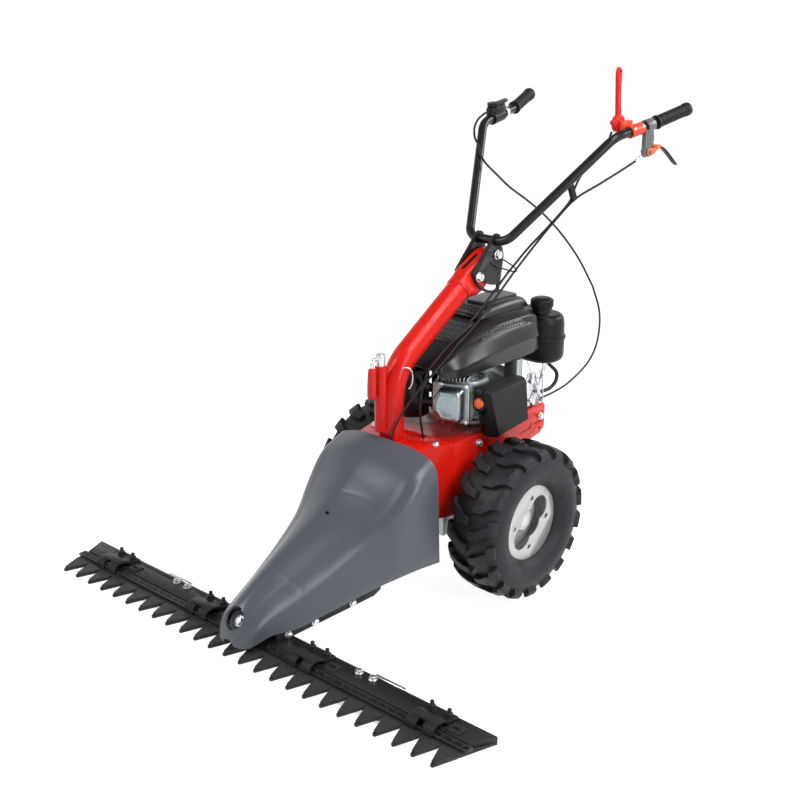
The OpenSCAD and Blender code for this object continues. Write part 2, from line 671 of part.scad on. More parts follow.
// The front of the cowl keeps its form over the drive case, and its rear part reaches back to the column
cowl_back = -146;
cowl_nose = 10 - tip_reach;
cowl_front = 261;
cowl_rear = cowl_rows[len(cowl_rows) - 1][0] - cowl_front;
function cowl_y(way) = cowl_nose + (way <= cowl_front ? way
    : cowl_front + (way - cowl_front) * (cowl_back - cowl_nose - cowl_front) / cowl_rear);
function cowl_skin(inset) = let (rows = smooth(cowl_rows, cowl_steps), last = len(rows) - 1)
    [for (i = [0 : last])
        let (y = cowl_y(rows[i][0]) + 1.2 * inset * (1 - i / last))
        for (p = cowl_section(rows[i], inset)) [p[0], y, comb_z + p[1]]];
cup_r = 14;
module cowl() {
    outer = cowl_skin(0);
    inner = cowl_skin(cowl_t);
    n = 2 * (top_points + corner_points + side_points) + 1;
    m = len(outer) / n;
    grid = [for (i = [0 : m - 2], k = [0 : n - 2]) let (a = i * n + k)
        each [[a, a + n, a + n + 1], [a, a + n + 1, a + 1]]];
    shift = m * n;
    inside = [for (f = grid) [f[0] + shift, f[2] + shift, f[1] + shift]];
    sides = [for (i = [0 : m - 2]) let (a = i * n, b = a + n - 1) each [
        [a, a + shift, a + n + shift], [a, a + n + shift, a + n],
        [b, b + n + shift, b + shift], [b, b + n, b + n + shift]]];
    lips = [for (k = [0 : n - 2]) let (a = k, b = (m - 1) * n + k) each [
        [a, a + 1, a + 1 + shift], [a, a + 1 + shift, a + shift],
        [b, b + 1 + shift, b + 1], [b, b + shift, b + 1 + shift]]];
    floor = [for (i = [0 : m - 2]) let (a = i * n, b = a + n - 1) each [[a, b, b + n], [a, b + n, a + n]]];
    ends = [for (k = [1 : n - 2]) each [[0, k, k + 1], [(m - 1) * n, (m - 1) * n + k + 1, (m - 1) * n
        + k]]];
    color("#5b6470") difference() {
        union() {
            polyhedron(concat(outer, inner), concat(grid, inside, sides, lips), convexity = 8);
            // Cup around the nose bolt
            intersection() {
                polyhedron(outer, concat(grid, floor, ends), convexity = 8);
                nose_place() translate([0, 0, -4]) cylinder(h = 60, r = cup_r + cowl_t, $fn = 32);
            }
        }
        nose_place() {
            translate([0, 0, -30]) cylinder(h = 40, d = bolt_d + 0.4, $fn = 32);
            cylinder(h = 60, r = cup_r, $fn = 32);
        }
        translate([0, column_y, deck_z - 40]) cylinder(h = 120, r = column_r + 4);
    }
}

// Cutter bar

module comb_outline(length, root_w, tip_w, shorten) {
    for (i = [0 : tooth_count - 1]) translate([(i - (tooth_count - 1) / 2) * tooth_pitch, 0]) polygon([
        [-root_w / 2, tooth_root + 1], [-root_w / 2, tooth_root - 6], [-tip_w / 2,
            tooth_root - length + shorten],
        [tip_w / 2, tooth_root - length + shorten], [root_w / 2, tooth_root - 6], [root_w / 2,
            tooth_root + 1]]);
}
end_cut = 22;
bar_end = bar_half + end_cut - 4;
module bar_shape(front) {
    polygon([[-bar_end, -bar_back], [-bar_end + end_cut, front], [bar_end - end_cut, front], [bar_end,
        -bar_back]]);
}
module skid_holes(low, high) {
    for (s = [-1, 1], x = skid_bolt_x) translate([s * x, skid_bolt_y, low - 1])
        cylinder(h = high - low + 2, d = bolt_d + 0.2);
}
module finger_comb() {
    color("#26231f") translate([0, 0, comb_z]) difference() {
        linear_extrude(comb_t) union() {
            bar_shape(tooth_root);
            comb_outline(tooth_l, 34, 5, 0);
        }
        skid_holes(0, comb_t);
    }
}
clip_bolt_d = 8;
clip_bolt_dx = 20;
clip_bolt_y = -bar_back - 14;
module bar_beam() {
    color("#26231f") translate([0, 0, beam_z]) difference() {
        linear_extrude(beam_t) bar_shape(beam_front);
        skid_holes(0, beam_t);
        for (s = [-1, 1], x = clip_x, d = [-1, 1]) translate([s * x + d * clip_bolt_dx, clip_bolt_y, -1])
            cylinder(h = beam_t + 2, d = clip_bolt_d + 0.2);
    }
}
clip_half = 32;
module hold_down_clips() {
    back = -bar_back - 4;
    front = knife_rear - knife_back_w - 5;
    color("#1d1c1b") both_sides() for (x = clip_x) difference() {
        side_slab(x - clip_half, x + clip_half, [[back, bar_top], [back, bar_top + 5.3], [beam_front
            + 24, bar_top + 5.3],
            [beam_front + 10, bar_top + 14], [beam_front - 8, bar_top + 15], [front + 4, bar_top + 9],
            [front, section_z + section_t + gap], [front + 3.4, section_z + section_t + gap], [front
                + 4, bar_top + 2],
            [beam_front - 8, bar_top + 10], [beam_front + 8, bar_top + 9], [beam_front + 18, bar_top]]);
        for (d = [-1, 1]) translate([x + d * clip_bolt_dx, clip_bolt_y, bar_top - 1]) cylinder(h = 10,
            d = clip_bolt_d + 0.2);
        block([x - 7, front - 1, section_z], [x + 7, front + 14, bar_top + 30]);
    }
}
module clip_bolts() {
    color("#111111") both_sides() for (x = clip_x, d = [-1, 1])
        translate([x + d * clip_bolt_dx, clip_bolt_y, bar_top + 5.3]) hex_bolt(clip_bolt_d, 5.3 + beam_t);
}
skid_half = 50;
module skid_shoes() {
    rise = bar_up - skid_t;
    color("#b9bdc0") both_sides() difference() {
        side_slab(skid_x - skid_half, skid_x + skid_half, [[-bar_back + 18, bar_up + 8], [-bar_back
            + 10, rise * 0.4],
            [-bar_back - 4, 0], [tooth_root + 24, 0], [tooth_root + 6, rise * 0.35], [tooth_root - 2,
                bar_up - 2],
            [tooth_root - 2, bar_up], [tooth_root + 20, bar_up], [tooth_root + 20, rise], [tooth_root
                + 9, rise],
            [tooth_root + 13, rise * 0.4], [tooth_root + 28, skid_t], [-bar_back - 8, skid_t],
                [-bar_back + 3, rise * 0.5],
            [-bar_back - 2, rise], [-bar_back - 30, rise], [-bar_back - 30, bar_up], [-bar_back + 5,
                bar_up], [-bar_back + 12, bar_up + 8]]);
        block([skid_x - skid_half - 1, -bar_back + 2, rise], [skid_x - 24, -bar_back + 30, bar_up + 20]);
        for (x = skid_bolt_x) translate([x, skid_bolt_y, rise - 1]) cylinder(h = skid_t + 2,
            d = bolt_d + 0.2);
    }
}
knife_mid = knife_rear - knife_back_w / 2;
rivet_dx = 10;
module knife_back() {
    head_half = 9 + gap + 6;
    color("#1a1918") {
        difference() {
            union() {
                block([-bar_half - 6, knife_rear - knife_back_w, knife_z], [bar_half + 6, knife_rear,
                    knife_top]);
                block([-head_half, knife_pin_y - 16, knife_top - 1], [head_half, knife_rear,
                    lever_low + lever_t - 1]);
            }
            block([-9 - gap, knife_pin_y - 10, lever_low - 1.5], [9 + gap, knife_rear + 1, lever_low
                + lever_t + 1]);
            for (s = [-1, 1]) translate([s * (bar_half - 2), knife_mid, knife_z - 1]) cylinder(h = 10,
                r = 3);
        }
        for (i = [0 : tooth_count - 1], d = [-1, 1]) let (x = (i - (tooth_count - 1) / 2)
            * tooth_pitch + d * rivet_dx)
            if (abs(x) > head_half + 4) translate([x, knife_mid, knife_top]) cylinder(h = 1.6,
                r1 = 3.5, r2 = 2.5);
    }
}
module knife_sections() {
    color("#2f2b27") translate([0, 0, section_z]) linear_extrude(section_t) union() {
        polygon([[-bar_half, knife_rear], [-bar_half, tooth_root + 0.5], [bar_half, tooth_root + 0.5],
            [bar_half, knife_rear]]);
        comb_outline(tooth_l, tooth_pitch - 2, 6, 4);
    }
}

// Engine

cyl_z = deck_z + 72;
module on_cylinder() {
    translate([0, engine_y, cyl_z]) rotate([0, 0, cylinder_turn]) children();
}
cyl_half = crankcase_r * 20 / 43;
cyl_low = cyl_half + 2;
head_y = -crankcase_r - 84;
engine_top = deck_z + crankcase_h;
lug_back = engine_y + 48;
module engine_block() {
    color("#a9aeb0") difference() {
        union() {
            translate([0, engine_y, deck_z]) cylinder(h = crankcase_h, r = crankcase_r);
            translate([0, engine_y, deck_z]) cylinder(h = 10, r = engine_bolt_r + 10);
            // Lugs that carry the shroud
            both_sides() block([60, lug_back - 20, engine_top - 24], [95, lug_back, shroud_low]);
            on_cylinder() block([-cyl_half, head_y, -cyl_low], [cyl_half, -crankcase_r + 20, cyl_low]);
        }
        translate([0, engine_y, deck_z + 12]) cylinder(h = crankcase_h - 24, r = crankcase_r - 10);
        translate([0, engine_y, deck_z - 1]) cylinder(h = crankcase_h + 2, d = crank_d + 2 * run_fit);
        on_cylinder() {
            y_rod(head_y + 16, 0, cyl_half - 7);
            for (k = [0 : 4]) let (y = head_y + 10 + 9 * k) difference() {
                block([-cyl_half - 1, y, -cyl_low - 1], [cyl_half + 1, y + 5, cyl_low + 1]);
                block([-cyl_half + 8, y - 1, -cyl_low + 8], [cyl_half - 8, y + 6, cyl_low - 8]);
            }
        }
        for (a = engine_bolt_turn) translate([engine_bolt_r * cos(a), engine_y
            + engine_bolt_r * sin(a), deck_z - 1])
            cylinder(h = 12, d = bolt_d + 0.2);
    }
}
cover_half = cyl_half - 3;
module valve_cover() {
    color("#8f979a") on_cylinder() translate([0, head_y, 0]) rotate([90, 0, 0]) union() {
        linear_extrude(6) square([2 * cover_half, 2 * cyl_low], center = true);
        hull() {
            translate([0, 0, 6]) linear_extrude(1) square([2 * cover_half - 6, 2 * cyl_low - 6],
                center = true);
            translate([0, 0, 30]) linear_extrude(1) square([2 * cover_half - 22, 2 * cyl_low - 24],
                center = true);
            translate([0, 0, 34]) linear_extrude(1) square([2 * cover_half - 32, 2 * cyl_low - 34],
                center = true);
        }
    }
}
shroud_low = engine_top + 42;
shroud_top = deck_z + 226;
shroud_back = 258;
module shroud_form(inset) {
    r = 20 - inset;
    hull() {
        for (s = [-1, 1]) {
            translate([s * 74, 32, shroud_low - (inset > 0 ? 10 : 0)]) cylinder(h = 30
                + (inset > 0 ? 10 : 0), r = r, $fn = 32);
            translate([s * 76, shroud_back - 20, shroud_low - (inset > 0 ? 10 : 0)])
                cylinder(h = 46 + (inset > 0 ? 10 : 0), r = r, $fn = 32);
            translate([s * 44, 120, shroud_top - 16 - inset]) sphere(r = 16, $fn = 24);
            translate([s * 52, shroud_back - 40, shroud_top - 16 - inset]) sphere(r = 16, $fn = 24);
        }
    }
}
module engine_shroud() {
    color("#161618") difference() {
        union() {
            shroud_form(0);
            both_sides() hull() {
                translate([80, 30, shroud_low]) cylinder(h = 52, r = 14, $fn = 32);
                translate([78, -30, shroud_low + 4]) cylinder(h = 30, r = 12, $fn = 32);
                translate([68, -50, shroud_low + 34]) sphere(r = 8, $fn = 24);
                translate([88, 120, shroud_low + 10]) cylinder(h = 50, r = 8, $fn = 32);
            }
        }
        shroud_form(shroud_t);
    }
}
starter_low = shroud_top;
module starter_form(h, inset) {
    translate([-44 + inset, 116 + inset]) hull() for (x = [14 - inset, 74 - inset], y = [14 - inset,
        136 - inset])
        translate([x, y, 0]) cylinder(h = h, r = 14 - inset, $fn = 32);
}
module starter_cover() {
    color("#1b1b1d") translate([0, 0, starter_low]) difference() {
        union() {
            starter_form(18, 0);
            starter_form(25, 7);
        }
        translate([0, 0, -1]) starter_form(20, 9);
        for (k = [0 : 5]) translate([-30, 140 + 20 * k, 10]) cube([60, 7, 40]);
    }
}
tank_y = 322;
tank_r = 48;
tank_low = deck_z + 87;
tank_h = 110;
tank_x = [-32, 50];
neck = [60, 298];
neck_h = 24;
module fuel_tank() {
    color("#19191b") difference() {
        union() {
            tank_form(0);
            block([-24, shroud_back, tank_low + 46], [34, tank_y - tank_r + 8, tank_low + 66]);
            translate([neck[0], neck[1], tank_low + tank_h - 2]) cylinder(h = neck_h + 2,
                r = fuel_cap_r - 8);
        }
        tank_form(4);
        translate([neck[0], neck[1], tank_low + tank_h - 10]) cylinder(h = 40, r = fuel_cap_r - 11);
    }
}
module tank_form(inset) {
    hull() for (x = tank_x) translate([x, tank_y, 0]) {
        translate([0, 0, tank_low + 10]) cylinder(h = tank_h - 20, r = tank_r - inset, $fn = 48);
        translate([0, 0, tank_low + inset]) cylinder(h = tank_h - 2 * inset, r = tank_r - 10 - inset,
            $fn = 48);
    }
}
cap_z = tank_low + tank_h + 9;
module fuel_cap() {
    color("#141415") translate([neck[0], neck[1], cap_z]) difference() {
        union() {
            cylinder(h = 30, r = fuel_cap_r - 3);
            translate([0, 0, 12]) cylinder(h = 16, r = fuel_cap_r);
            translate([0, 0, 30]) cylinder(h = 3, r1 = fuel_cap_r - 3, r2 = fuel_cap_r - 8);
        }
        translate([0, 0, -1]) cylinder(h = neck_h - 7, r = fuel_cap_r - 8 + run_fit);
    }
}
air_in = frame_w / 2 + 0.5;
air_seam = air_in + 25.5;
air_out = air_in + 41.5;
air_front_low = 34;
air_outline = [[-4, deck_z + 112], [135, deck_z + 112], [148, deck_z + 8], [air_front_low, deck_z - 4]];
module air_cleaner_base() {
    color("#17171a") difference() {
        side_slab(air_in, air_seam, air_outline);
        side_slab(air_in + 4, air_seam + 1, [[3, deck_z + 106], [129, deck_z + 106], [141, deck_z
            + 13], [40, deck_z + 2]]);
        translate([0, intake_y, intake_z]) x_rod(air_in - 1, air_in + 5, 14);
        primer_place() translate([0, 0, -20]) cylinder(h = 30, r = primer_r + run_fit);
    }
}
module air_cleaner_cover() {
    color("#1c1c1f") hull() {
        side_slab(air_seam, air_seam + 8, air_outline);
        side_slab(air_out - 1, air_out, [[4, deck_z + 104], [128, deck_z + 104], [139, deck_z + 15],
            [41, deck_z + 4]]);
    }
}
intake_y = 92;
intake_z = deck_z + 74;
primer_z = deck_z + 78;
module primer_place() {
    lean = atan2(air_front_low + 4, 116);
    translate([(air_in + air_seam) / 2, -4 + (deck_z + 112 - primer_z) * tan(lean), primer_z])
        rotate([90 - lean, 0, 0]) children();
}
module primer_bulb() {
    color("#e8501c") primer_place() union() {
        translate([0, 0, -10]) cylinder(h = 15, r = primer_r);
        translate([0, 0, 5]) cylinder(h = 4, r1 = primer_r, r2 = primer_r - 5);
    }
}
module carburettor() {
    color("#b8bcbe") difference() {
        union() {
            translate([0, intake_y, intake_z]) x_rod(crankcase_r - 6, air_in, 13);
            block([crankcase_r + 4, intake_y + 8, intake_z - 26], [air_in - 1, intake_y + 44,
                intake_z + 20]);
            translate([crankcase_r + 11, intake_y + 28, intake_z - 44]) cylinder(h = 22, r = 11);
        }
        translate([0, engine_y, deck_z]) cylinder(h = 200, r = crankcase_r + 0.2);
    }
}
bracket_x = frame_w / 2 - 10;
bracket_y = max(engine_y + crankcase_r - 30, lug_back + 8);
bracket_outline = [[0, 0], [-6, 70], [4, 92], [30, 92], [40, 60], [52, 36], [52, 0]];
module control_bracket() {
    color("#c4c8ca") translate([0, bracket_y, deck_z]) {
        side_slab(bracket_x, bracket_x + 3, bracket_outline);
        translate([0, 10, 76]) x_rod(bracket_x + 3, bracket_x + 12, 7);
        translate([0, 26, 50]) x_rod(bracket_x + 3, bracket_x + 16, 5);
        translate([0, 18, 24]) x_rod(bracket_x + 3, bracket_x + 10, 6);
    }
}
hose_x = crankcase_r + 11;
hose_route = [[62, 330, tank_low - 0.8], [62, 330.5, tank_low - 10], [70, 350, tank_low - 32], [76,
    342, tank_low - 50],
    [84, 310, tank_low - 58], [hose_x - 5, 270, tank_low - 54], [hose_x - 3, 210, tank_low - 48],
        [hose_x - 1, 160, tank_low - 36],
    [hose_x, 137.6, tank_low - 28]];
module fuel_hose() {
    color("#101011") rod(smooth(hose_route, 3), 4.5, 10);
}
muffler_r = 40;
module on_muffler(z) {
    on_cylinder() translate([-cyl_half - 67.3, head_y + 52.1, deck_z - cyl_z + z]) children();
}
module muffler() {
    color("#121213") difference() {
        union() {
            on_muffler(22) cylinder(h = 104, r = muffler_r);
            on_cylinder() translate([0, head_y + 34, -16]) x_rod(-cyl_half - 40, -cyl_half, 11);
        }
        on_muffler(26) cylinder(h = 96, r = muffler_r - 3);
    }
}
crank_low = case_top + 4;
flywheel_z = engine_top + 50;
module crankshaft() {
    color("#9a9ea1") translate([0, engine_y, 0]) difference() {
        union() {
            translate([0, 0, crank_low]) cylinder(h = flywheel_z + 40 - crank_low, d = crank_d);
            translate([0, 0, crank_low]) cylinder(h = 34, r = bell_r - 14);
            translate([20, 0, deck_z + 30]) cylinder(h = 24, r = 34);
        }
        translate([0, 0, crank_low - 1]) cylinder(h = 22, r = bell_r - 20);
    }
}
module flywheel() {
    color("#6f7375") translate([0, engine_y, flywheel_z]) difference() {
        union() {
            cylinder(h = 18, r = flywheel_r);
            for (a = [0 : 24 : 336]) rotate(a) translate([44, -2, 17]) cube([flywheel_r - 48, 4, 18]);
        }
        translate([0, 0, -1]) cylinder(h = 30, d = crank_d + 2 * run_fit);
    }
}

// Steering column

socket_z = side_top + 6;
column_low = socket_z + gap;
bend_z = deck_z + bend_up;
column_r = column_d / 2;
bore_r = column_r - column_wall;
bend_run = bend_r * tan((90 - column_slope) / 2);
tube_end = 262;
module column_socket() {
    color("#c81d1c") translate([0, column_y, 0]) difference() {
        union() {
            translate([0, 0, side_top]) cylinder(h = 6, r = column_r + 8);
            translate([0, 0, socket_z - 1]) cylinder(h = 56, r = bore_r - run_fit);
        }
        translate([0, 0, side_top + 4]) cylinder(h = 80, r = bore_r - 6);
    }
}
// Places the children in the plane of the sloping column: +Y runs up the slope from the bend
module on_slope() {
    translate([0, column_y, bend_z]) rotate([column_slope, 0, 0]) children();
}
clamp_dy = -column_r - 6.5;
clamp_y = column_y + clamp_dy;
boss_low = column_low + 22;
boss_high = column_low + 163;
clamp_r = clamp_d / 2;
column_top = [0, column_y + tube_end * cos(column_slope), bend_z + tube_end * sin(column_slope)];
bend_low = bend_z - bend_run;
function column_path() = concat([[0, column_y, bend_low - 5]],
    corner([0, column_y, column_low], [0, column_y, bend_z], column_top, bend_r, 10), [column_top]);
module column_tube() {
    color("#d8211f") difference() {
        union() {
            difference() {
                translate([0, column_y, column_low]) cylinder(h = bend_low - column_low, r = column_r);
                translate([0, column_y, column_low - 1]) cylinder(h = bend_low - column_low + 2,
                    r = bore_r);
            }
            pipe(column_path(), column_r + 0.3, column_wall + 0.7, 28);
            difference() {
                translate([0, clamp_y, boss_low]) cylinder(h = boss_high - boss_low, r = clamp_r + 6);
                translate([0, column_y, boss_low - 1]) cylinder(h = boss_high - boss_low + 2,
                    r = column_r - 2);
            }
        }
        translate([0, clamp_y, boss_low + 4]) cylinder(h = boss_high - boss_low, r = clamp_r + run_fit);
    }
}
cross_u = tilt_u + 15;
cross_v = 26;
slot_bolt_turn = 179;
tilt_travel = 30;
function slot_place(a) = [tilt_u + slot_r * cos(a), slot_r * sin(a)];
module head_holes(x0, x1, r) {
    translate([0, tilt_u, 0]) x_rod(x0, x1, r);
    translate([0, slot_place(slot_bolt_turn)[0], slot_place(slot_bolt_turn)[1]]) x_rod(x0, x1, r);
}
module column_head() {
    color("#d8211f") on_slope() difference() {
        union() {
            y_rod(tube_end - 16, tube_end + 4, column_r + 3);
            side_slab(-head_w / 2, head_w / 2, [[tube_end - 8, -30], [tube_end - 8, 28], [tube_end
                + 24, 29],
                [tilt_u - 16, 20], [tilt_u + 8, 9], [tilt_u + 12, -4], [tilt_u + 6, -13], [tilt_u - 36,
                    -38],
                [tilt_u - 70, -44], [tube_end + 10, -42]]);
        }
        y_rod(tube_end - 80, tube_end, column_r + 0.4);
        side_slab(-head_w / 2 + 5, head_w / 2 - 5, [[tube_end - 1, -25], [tube_end - 1, 23],
            [tube_end + 24, 24],
            [tilt_u - 20, 16], [tilt_u - 14, -14], [tilt_u - 40, -32], [tilt_u - 70, -38], [tube_end
                + 12, -36]]);
        block([-4, tube_end + 14, 0], [4, tilt_u - 24, 60]);
        head_holes(-head_w, head_w, tilt_bolt_d / 2 + run_fit);
    }
}
plate_x = head_w / 2 + gap;
module head_bolts() {
    bolt_r = tilt_bolt_d / 2;
    reach = plate_x + plate_t + gap;
    color("#cdd1d4") {
        on_slope() {
            head_holes(-reach, reach, bolt_r);
            both_sides() for (p = [[tilt_u, 0], slot_place(slot_bolt_turn)])
                translate([reach, p[0], p[1]]) rotate([0, 90, 0]) {
                    cylinder(h = 2, r = bolt_r + 5);
                    translate([0, 0, 2]) cylinder(h = 7, r = bolt_r + 3.5, $fn = 6);
                }
        }
    }
}
screw_head_z = boss_high + gap;
screw_arm = 26;
arm_z = screw_head_z + 16;
grip_top = arm_z - 16;
module clamp_screw() {
    color("#cdd1d4") translate([0, clamp_y, 0]) {
        translate([0, 0, boss_low + 5]) cylinder(h = screw_head_z + 20 - boss_low, r = clamp_r);
        translate([0, 0, screw_head_z]) cylinder(h = 24, r = clamp_r + 4);
        translate([0, 0, arm_z]) y_rod(-screw_arm + 10, 0, 4);
        translate([0, 10 - screw_arm, arm_z - 10]) rotate([0, 0, -90]) rotate([90, 0, 0])
            rotate_extrude(angle = 90) translate([10, 0]) circle(r = 4);
        translate([0, -screw_arm, grip_top]) cylinder(h = arm_z - 10 - grip_top, r = 4);
    }
}
module clamp_grip() {
    color("#d8211f") translate([0, clamp_y - screw_arm, grip_top - 66]) union() {
        translate([0, 0, 4]) cylinder(h = 62, r = 9.5);
        cylinder(h = 4, r1 = 6.5, r2 = 9.5);
    }
}

// Handlebar

cross_y = column_y + cross_u * cos(column_slope) - cross_v * sin(column_slope);
cross_z = bend_z + cross_u * sin(column_slope) + cross_v * cos(column_slope);
arm_low = [50, cross_y, cross_z];
arm_high = [179, 371, cross_z + 214];
grip_start = [194, 502, cross_z + 234];
grip_end = [218, 595.45, cross_z + 259];
bar_r = bar_d / 2;
function bar_half_path() = concat(corner([0, cross_y, cross_z], arm_low, arm_high, 36, 7),
    corner(arm_low, arm_high, grip_start, 60, 6), corner(arm_high, grip_start, grip_end, 150, 2),
        [grip_end]);
function bar_path() = let (p = bar_half_path(), last = len(p) - 1)
    concat([for (i = [last : -1 : 0]) [-p[i][0], p[i][1], p[i][2]]], p);
module handlebar_tube() {
    color("#2a2a2c") pipe(bar_path(), bar_r, bar_wall, 20);
}
tilt_slot_half = tilt_bolt_d / 2 + 0.5;
function slot_point(turn, r) = [tilt_u + r * cos(turn), r * sin(turn)];
// One edge of the arc slot, and its round end
function slot_arc(from, to, r) = [for (k = [0 : 16]) slot_point(from + (to - from) * k / 16, r)];
function slot_end(turn, start) = [for (k = [1 : 7]) let (a = turn + start + 180 * k / 8)
    slot_point(turn, slot_r) + tilt_slot_half * [cos(a), sin(a)]];
module bracket_plates() {
    slot_ends = [slot_bolt_turn - 1, slot_bolt_turn + tilt_travel + 27];
    slot_half = tilt_slot_half;
    outline = concat([for (k = [0 : 12]) let (a = slot_ends[0] - 12 + (slot_ends[1] - slot_ends[0]
        + 20) * k / 12)
            [tilt_u + (slot_r + 12) * cos(a), (slot_r + 12) * sin(a)]], [[tilt_u + 18, -17]],
        [for (k = [0 : 10]) let (a = -50 + 16 * k) [cross_u + (bar_r + 6) * cos(a), cross_v + (bar_r
            + 6) * sin(a)]]);
    slot = concat(slot_arc(slot_ends[0], slot_ends[1], slot_r + slot_half),
        slot_end(slot_ends[1], 0), slot_arc(slot_ends[1], slot_ends[0], slot_r - slot_half),
            slot_end(slot_ends[0], 180));
    color("#232426") difference() {
        on_slope() both_sides() difference() {
            side_slab(plate_x, plate_x + plate_t, outline);
            side_slab(0, head_w, slot);
            translate([0, tilt_u, 0]) x_rod(0, head_w, tilt_bolt_d / 2 + run_fit);
        }
        rod(bar_path(), bar_r + 0.15, 20);
    }
}
grip_dir = unit(grip_end - grip_start);
module handlebar_grips() {
    color("#1a1a1b") both_sides() along(grip_end, grip_dir) {
        difference() {
            union() {
                translate([0, 0, 6 - grip_l]) cylinder(h = grip_l - 8, r = grip_r - 1.5);
                translate([0, 0, 6 - grip_l]) cylinder(h = 6, r = grip_r + 1);
                translate([0, 0, -14]) cylinder(h = 12, r = grip_r);
                translate([0, 0, -2]) cylinder(h = 4, r1 = grip_r, r2 = grip_r - 4);
            }
            translate([0, 0, 5 - grip_l]) cylinder(h = grip_l - 5, r = bar_r + 0.7);
        }
    }
}
control_dir = unit(grip_start - arm_high);
function on_bar(s) = arm_high + s * control_dir;
module bar_clamp(s, length, wall) {
    along(on_bar(s), control_dir) difference() {
        translate([0, 0, -length / 2]) cylinder(h = length, r = bar_r + wall);
        translate([0, 0, -length / 2 - 1]) cylinder(h = length + 2, r = bar_r + 0.2);
    }
}
lever_pivot = [166, 412, cross_z + 238];
lever_disc_r = 19;
lever_pin_r = 5;
module drive_lever_mount() {
    color("#dd3a22") {
        bar_clamp(66, 40, 3.5);
        difference() {
            union() {
                translate([lever_pivot[0], 0, 0]) block([0, lever_pivot[1] - 8, lever_pivot[2] - 22],
                    [9, lever_pivot[1] + 30, lever_pivot[2] + 6]);
                translate(lever_pivot) x_rod(-26, 0, lever_pin_r);
            }
            along(on_bar(66), control_dir) cylinder(h = 200, r = bar_r + 0.2, center = true);
        }
    }
}
module drive_lever() {
    color("#e02222") translate(lever_pivot) difference() {
        union() {
            x_rod(-14, -1 - gap, lever_disc_r);
            side_slab(-12, -3, [[-8, 10], [8, 10], [2, 62], [1, 108], [-2, 118], [-14, 118], [-17,
                108], [-12, 62]]);
        }
        x_rod(-30, 1, lever_pin_r + run_fit);
    }
}
clutch_pivot = [196, 470, cross_z + 175];
clutch_pin_r = 4;
module clutch_bracket() {
    color("#8a8d90") difference() {
        union() {
            bar_clamp(110, 24, 4);
            side_slab(clutch_pivot[0] - 5, clutch_pivot[0] + 5, [[clutch_pivot[1] - 12,
                clutch_pivot[2] - 10],
                [clutch_pivot[1] - 12, cross_z + 224], [clutch_pivot[1] + 16, cross_z + 224],
                [clutch_pivot[1] + 22, clutch_pivot[2] + 26], [clutch_pivot[1] + 10,
                    clutch_pivot[2] - 10]]);
            translate(clutch_pivot) x_rod(-12, 12, clutch_pin_r);
        }
        along(on_bar(110), control_dir) cylinder(h = 80, r = bar_r + 0.2, center = true);
    }
}
clutch_blade = [[0, -8], [0, 8], [36, 12], [60, 4], [126, -34], [129, -40], [124, -43], [58, -10], [34,
    -4]];
module clutch_lever() {
    color("#d9602f") translate(clutch_pivot) difference() {
        union() {
            for (s = [-1, 1]) side_slab(s > 0 ? 5 + gap : -11, s > 0 ? 11 : -5 - gap, [[-8, -8], [-8,
                8], [36, 12], [36, -4], [6, -8]]);
            side_slab(-11, 11, [for (p = clutch_blade) if (p[0] > 20) p]);
        }
        x_rod(-20, 20, clutch_pin_r + run_fit);
    }
}
throttle_s = 56;
module throttle_body() {
    color("#151516") mirror([1, 0, 0]) difference() {
        union() {
            bar_clamp(throttle_s, 46, 5);
            along(on_bar(throttle_s), control_dir) translate([-26, -14, -32]) cube([14, 28, 64]);
        }
        along(on_bar(throttle_s), control_dir) {
            cylinder(h = 100, r = bar_r + 0.2, center = true);
        }
    }
}
module throttle_place() {
    mirror([1, 0, 0]) along(on_bar(throttle_s), control_dir) translate([-26, 0, -12]) rotate([0, -90,
        0]) children();
}
module throttle_lever() {
    color("#1d1d1e") throttle_place() union() {
        translate([0, 0, gap]) cylinder(h = 8, r = 13);
        translate([0, 0, gap]) linear_extrude(6) polygon([[0, -10], [0, 10], [30, 12], [52, 8], [54,
            -2], [30, -4]]);
    }
}

// Cables: each route is a list of points along the cable, with heights above the deck

clutch_route = [
    [190, 458, 543.5], [176, 420, 523.5], [152, 362, 493.5], [128, 310, 465.5], [112, 262, 423.5],
    [98, 214, 377.5], [84, 160, 323.5], [70, 100, 261.5], [58, 50, 213.5], [48, 6, 174.5],
    [41, -26, 145.5], [37, -60, 113.5], [35, -100, 75.5], [36, -122, 45.5], [36, -138, 13.5],
    [36, -144, 7.1], [36, -152, 6.1]];
drive_route = [
    [148, 404, 599.5], [146, 376, 557.5], [136, 340, 511.5], [122, bracket_y + 104, 459.5],
    [102, 254, 411.5], [82, 210, 367.5], [64, 164, 317.5], [54, 120, 271.5], [46, 70, 230.5],
    [40, 30, 191.5], [34, 0, 155.5], [30, -22, 131.5], [24, -44, 103.5], [22, -62, 67.5],
    [27, -70, 33.5], [36, -72, 13.5], [38, -72, 1.5]];
throttle_route = [
    [-178, 386, 616.5], [-178, 372, 613.5], [-177, 352, 602.5], [-173, 328, 574.5], [-165, 315, 539.5],
    [-155, 320, 503.5], [-140, 352, 469.5], [-120, 402, 437.5], [-85, 474, 383.5], [-60, 520, 331.5],
    [-30, 562, 268.5], [0, 584, 200.5], [25, 582, 140.5], [50, 542, 84.5], [75, 470, 51.5],
    [94, 371, 31.5], [bracket_x + 1.5, bracket_y + 104, 25.5], [bracket_x + 1.5, bracket_y + 53, 23.5]];
cable_r = 2.5;
module cable(route) {
    translate([0, 0, deck_z]) rod(smooth(route, 2), cable_r, 8);
}
module control_cables() {
    color("#3a3b3c") {
        cable(clutch_route);
        cable(drive_route);
    }
}
module throttle_cable() {
    color("#2b2c2d") cable(throttle_route);
}

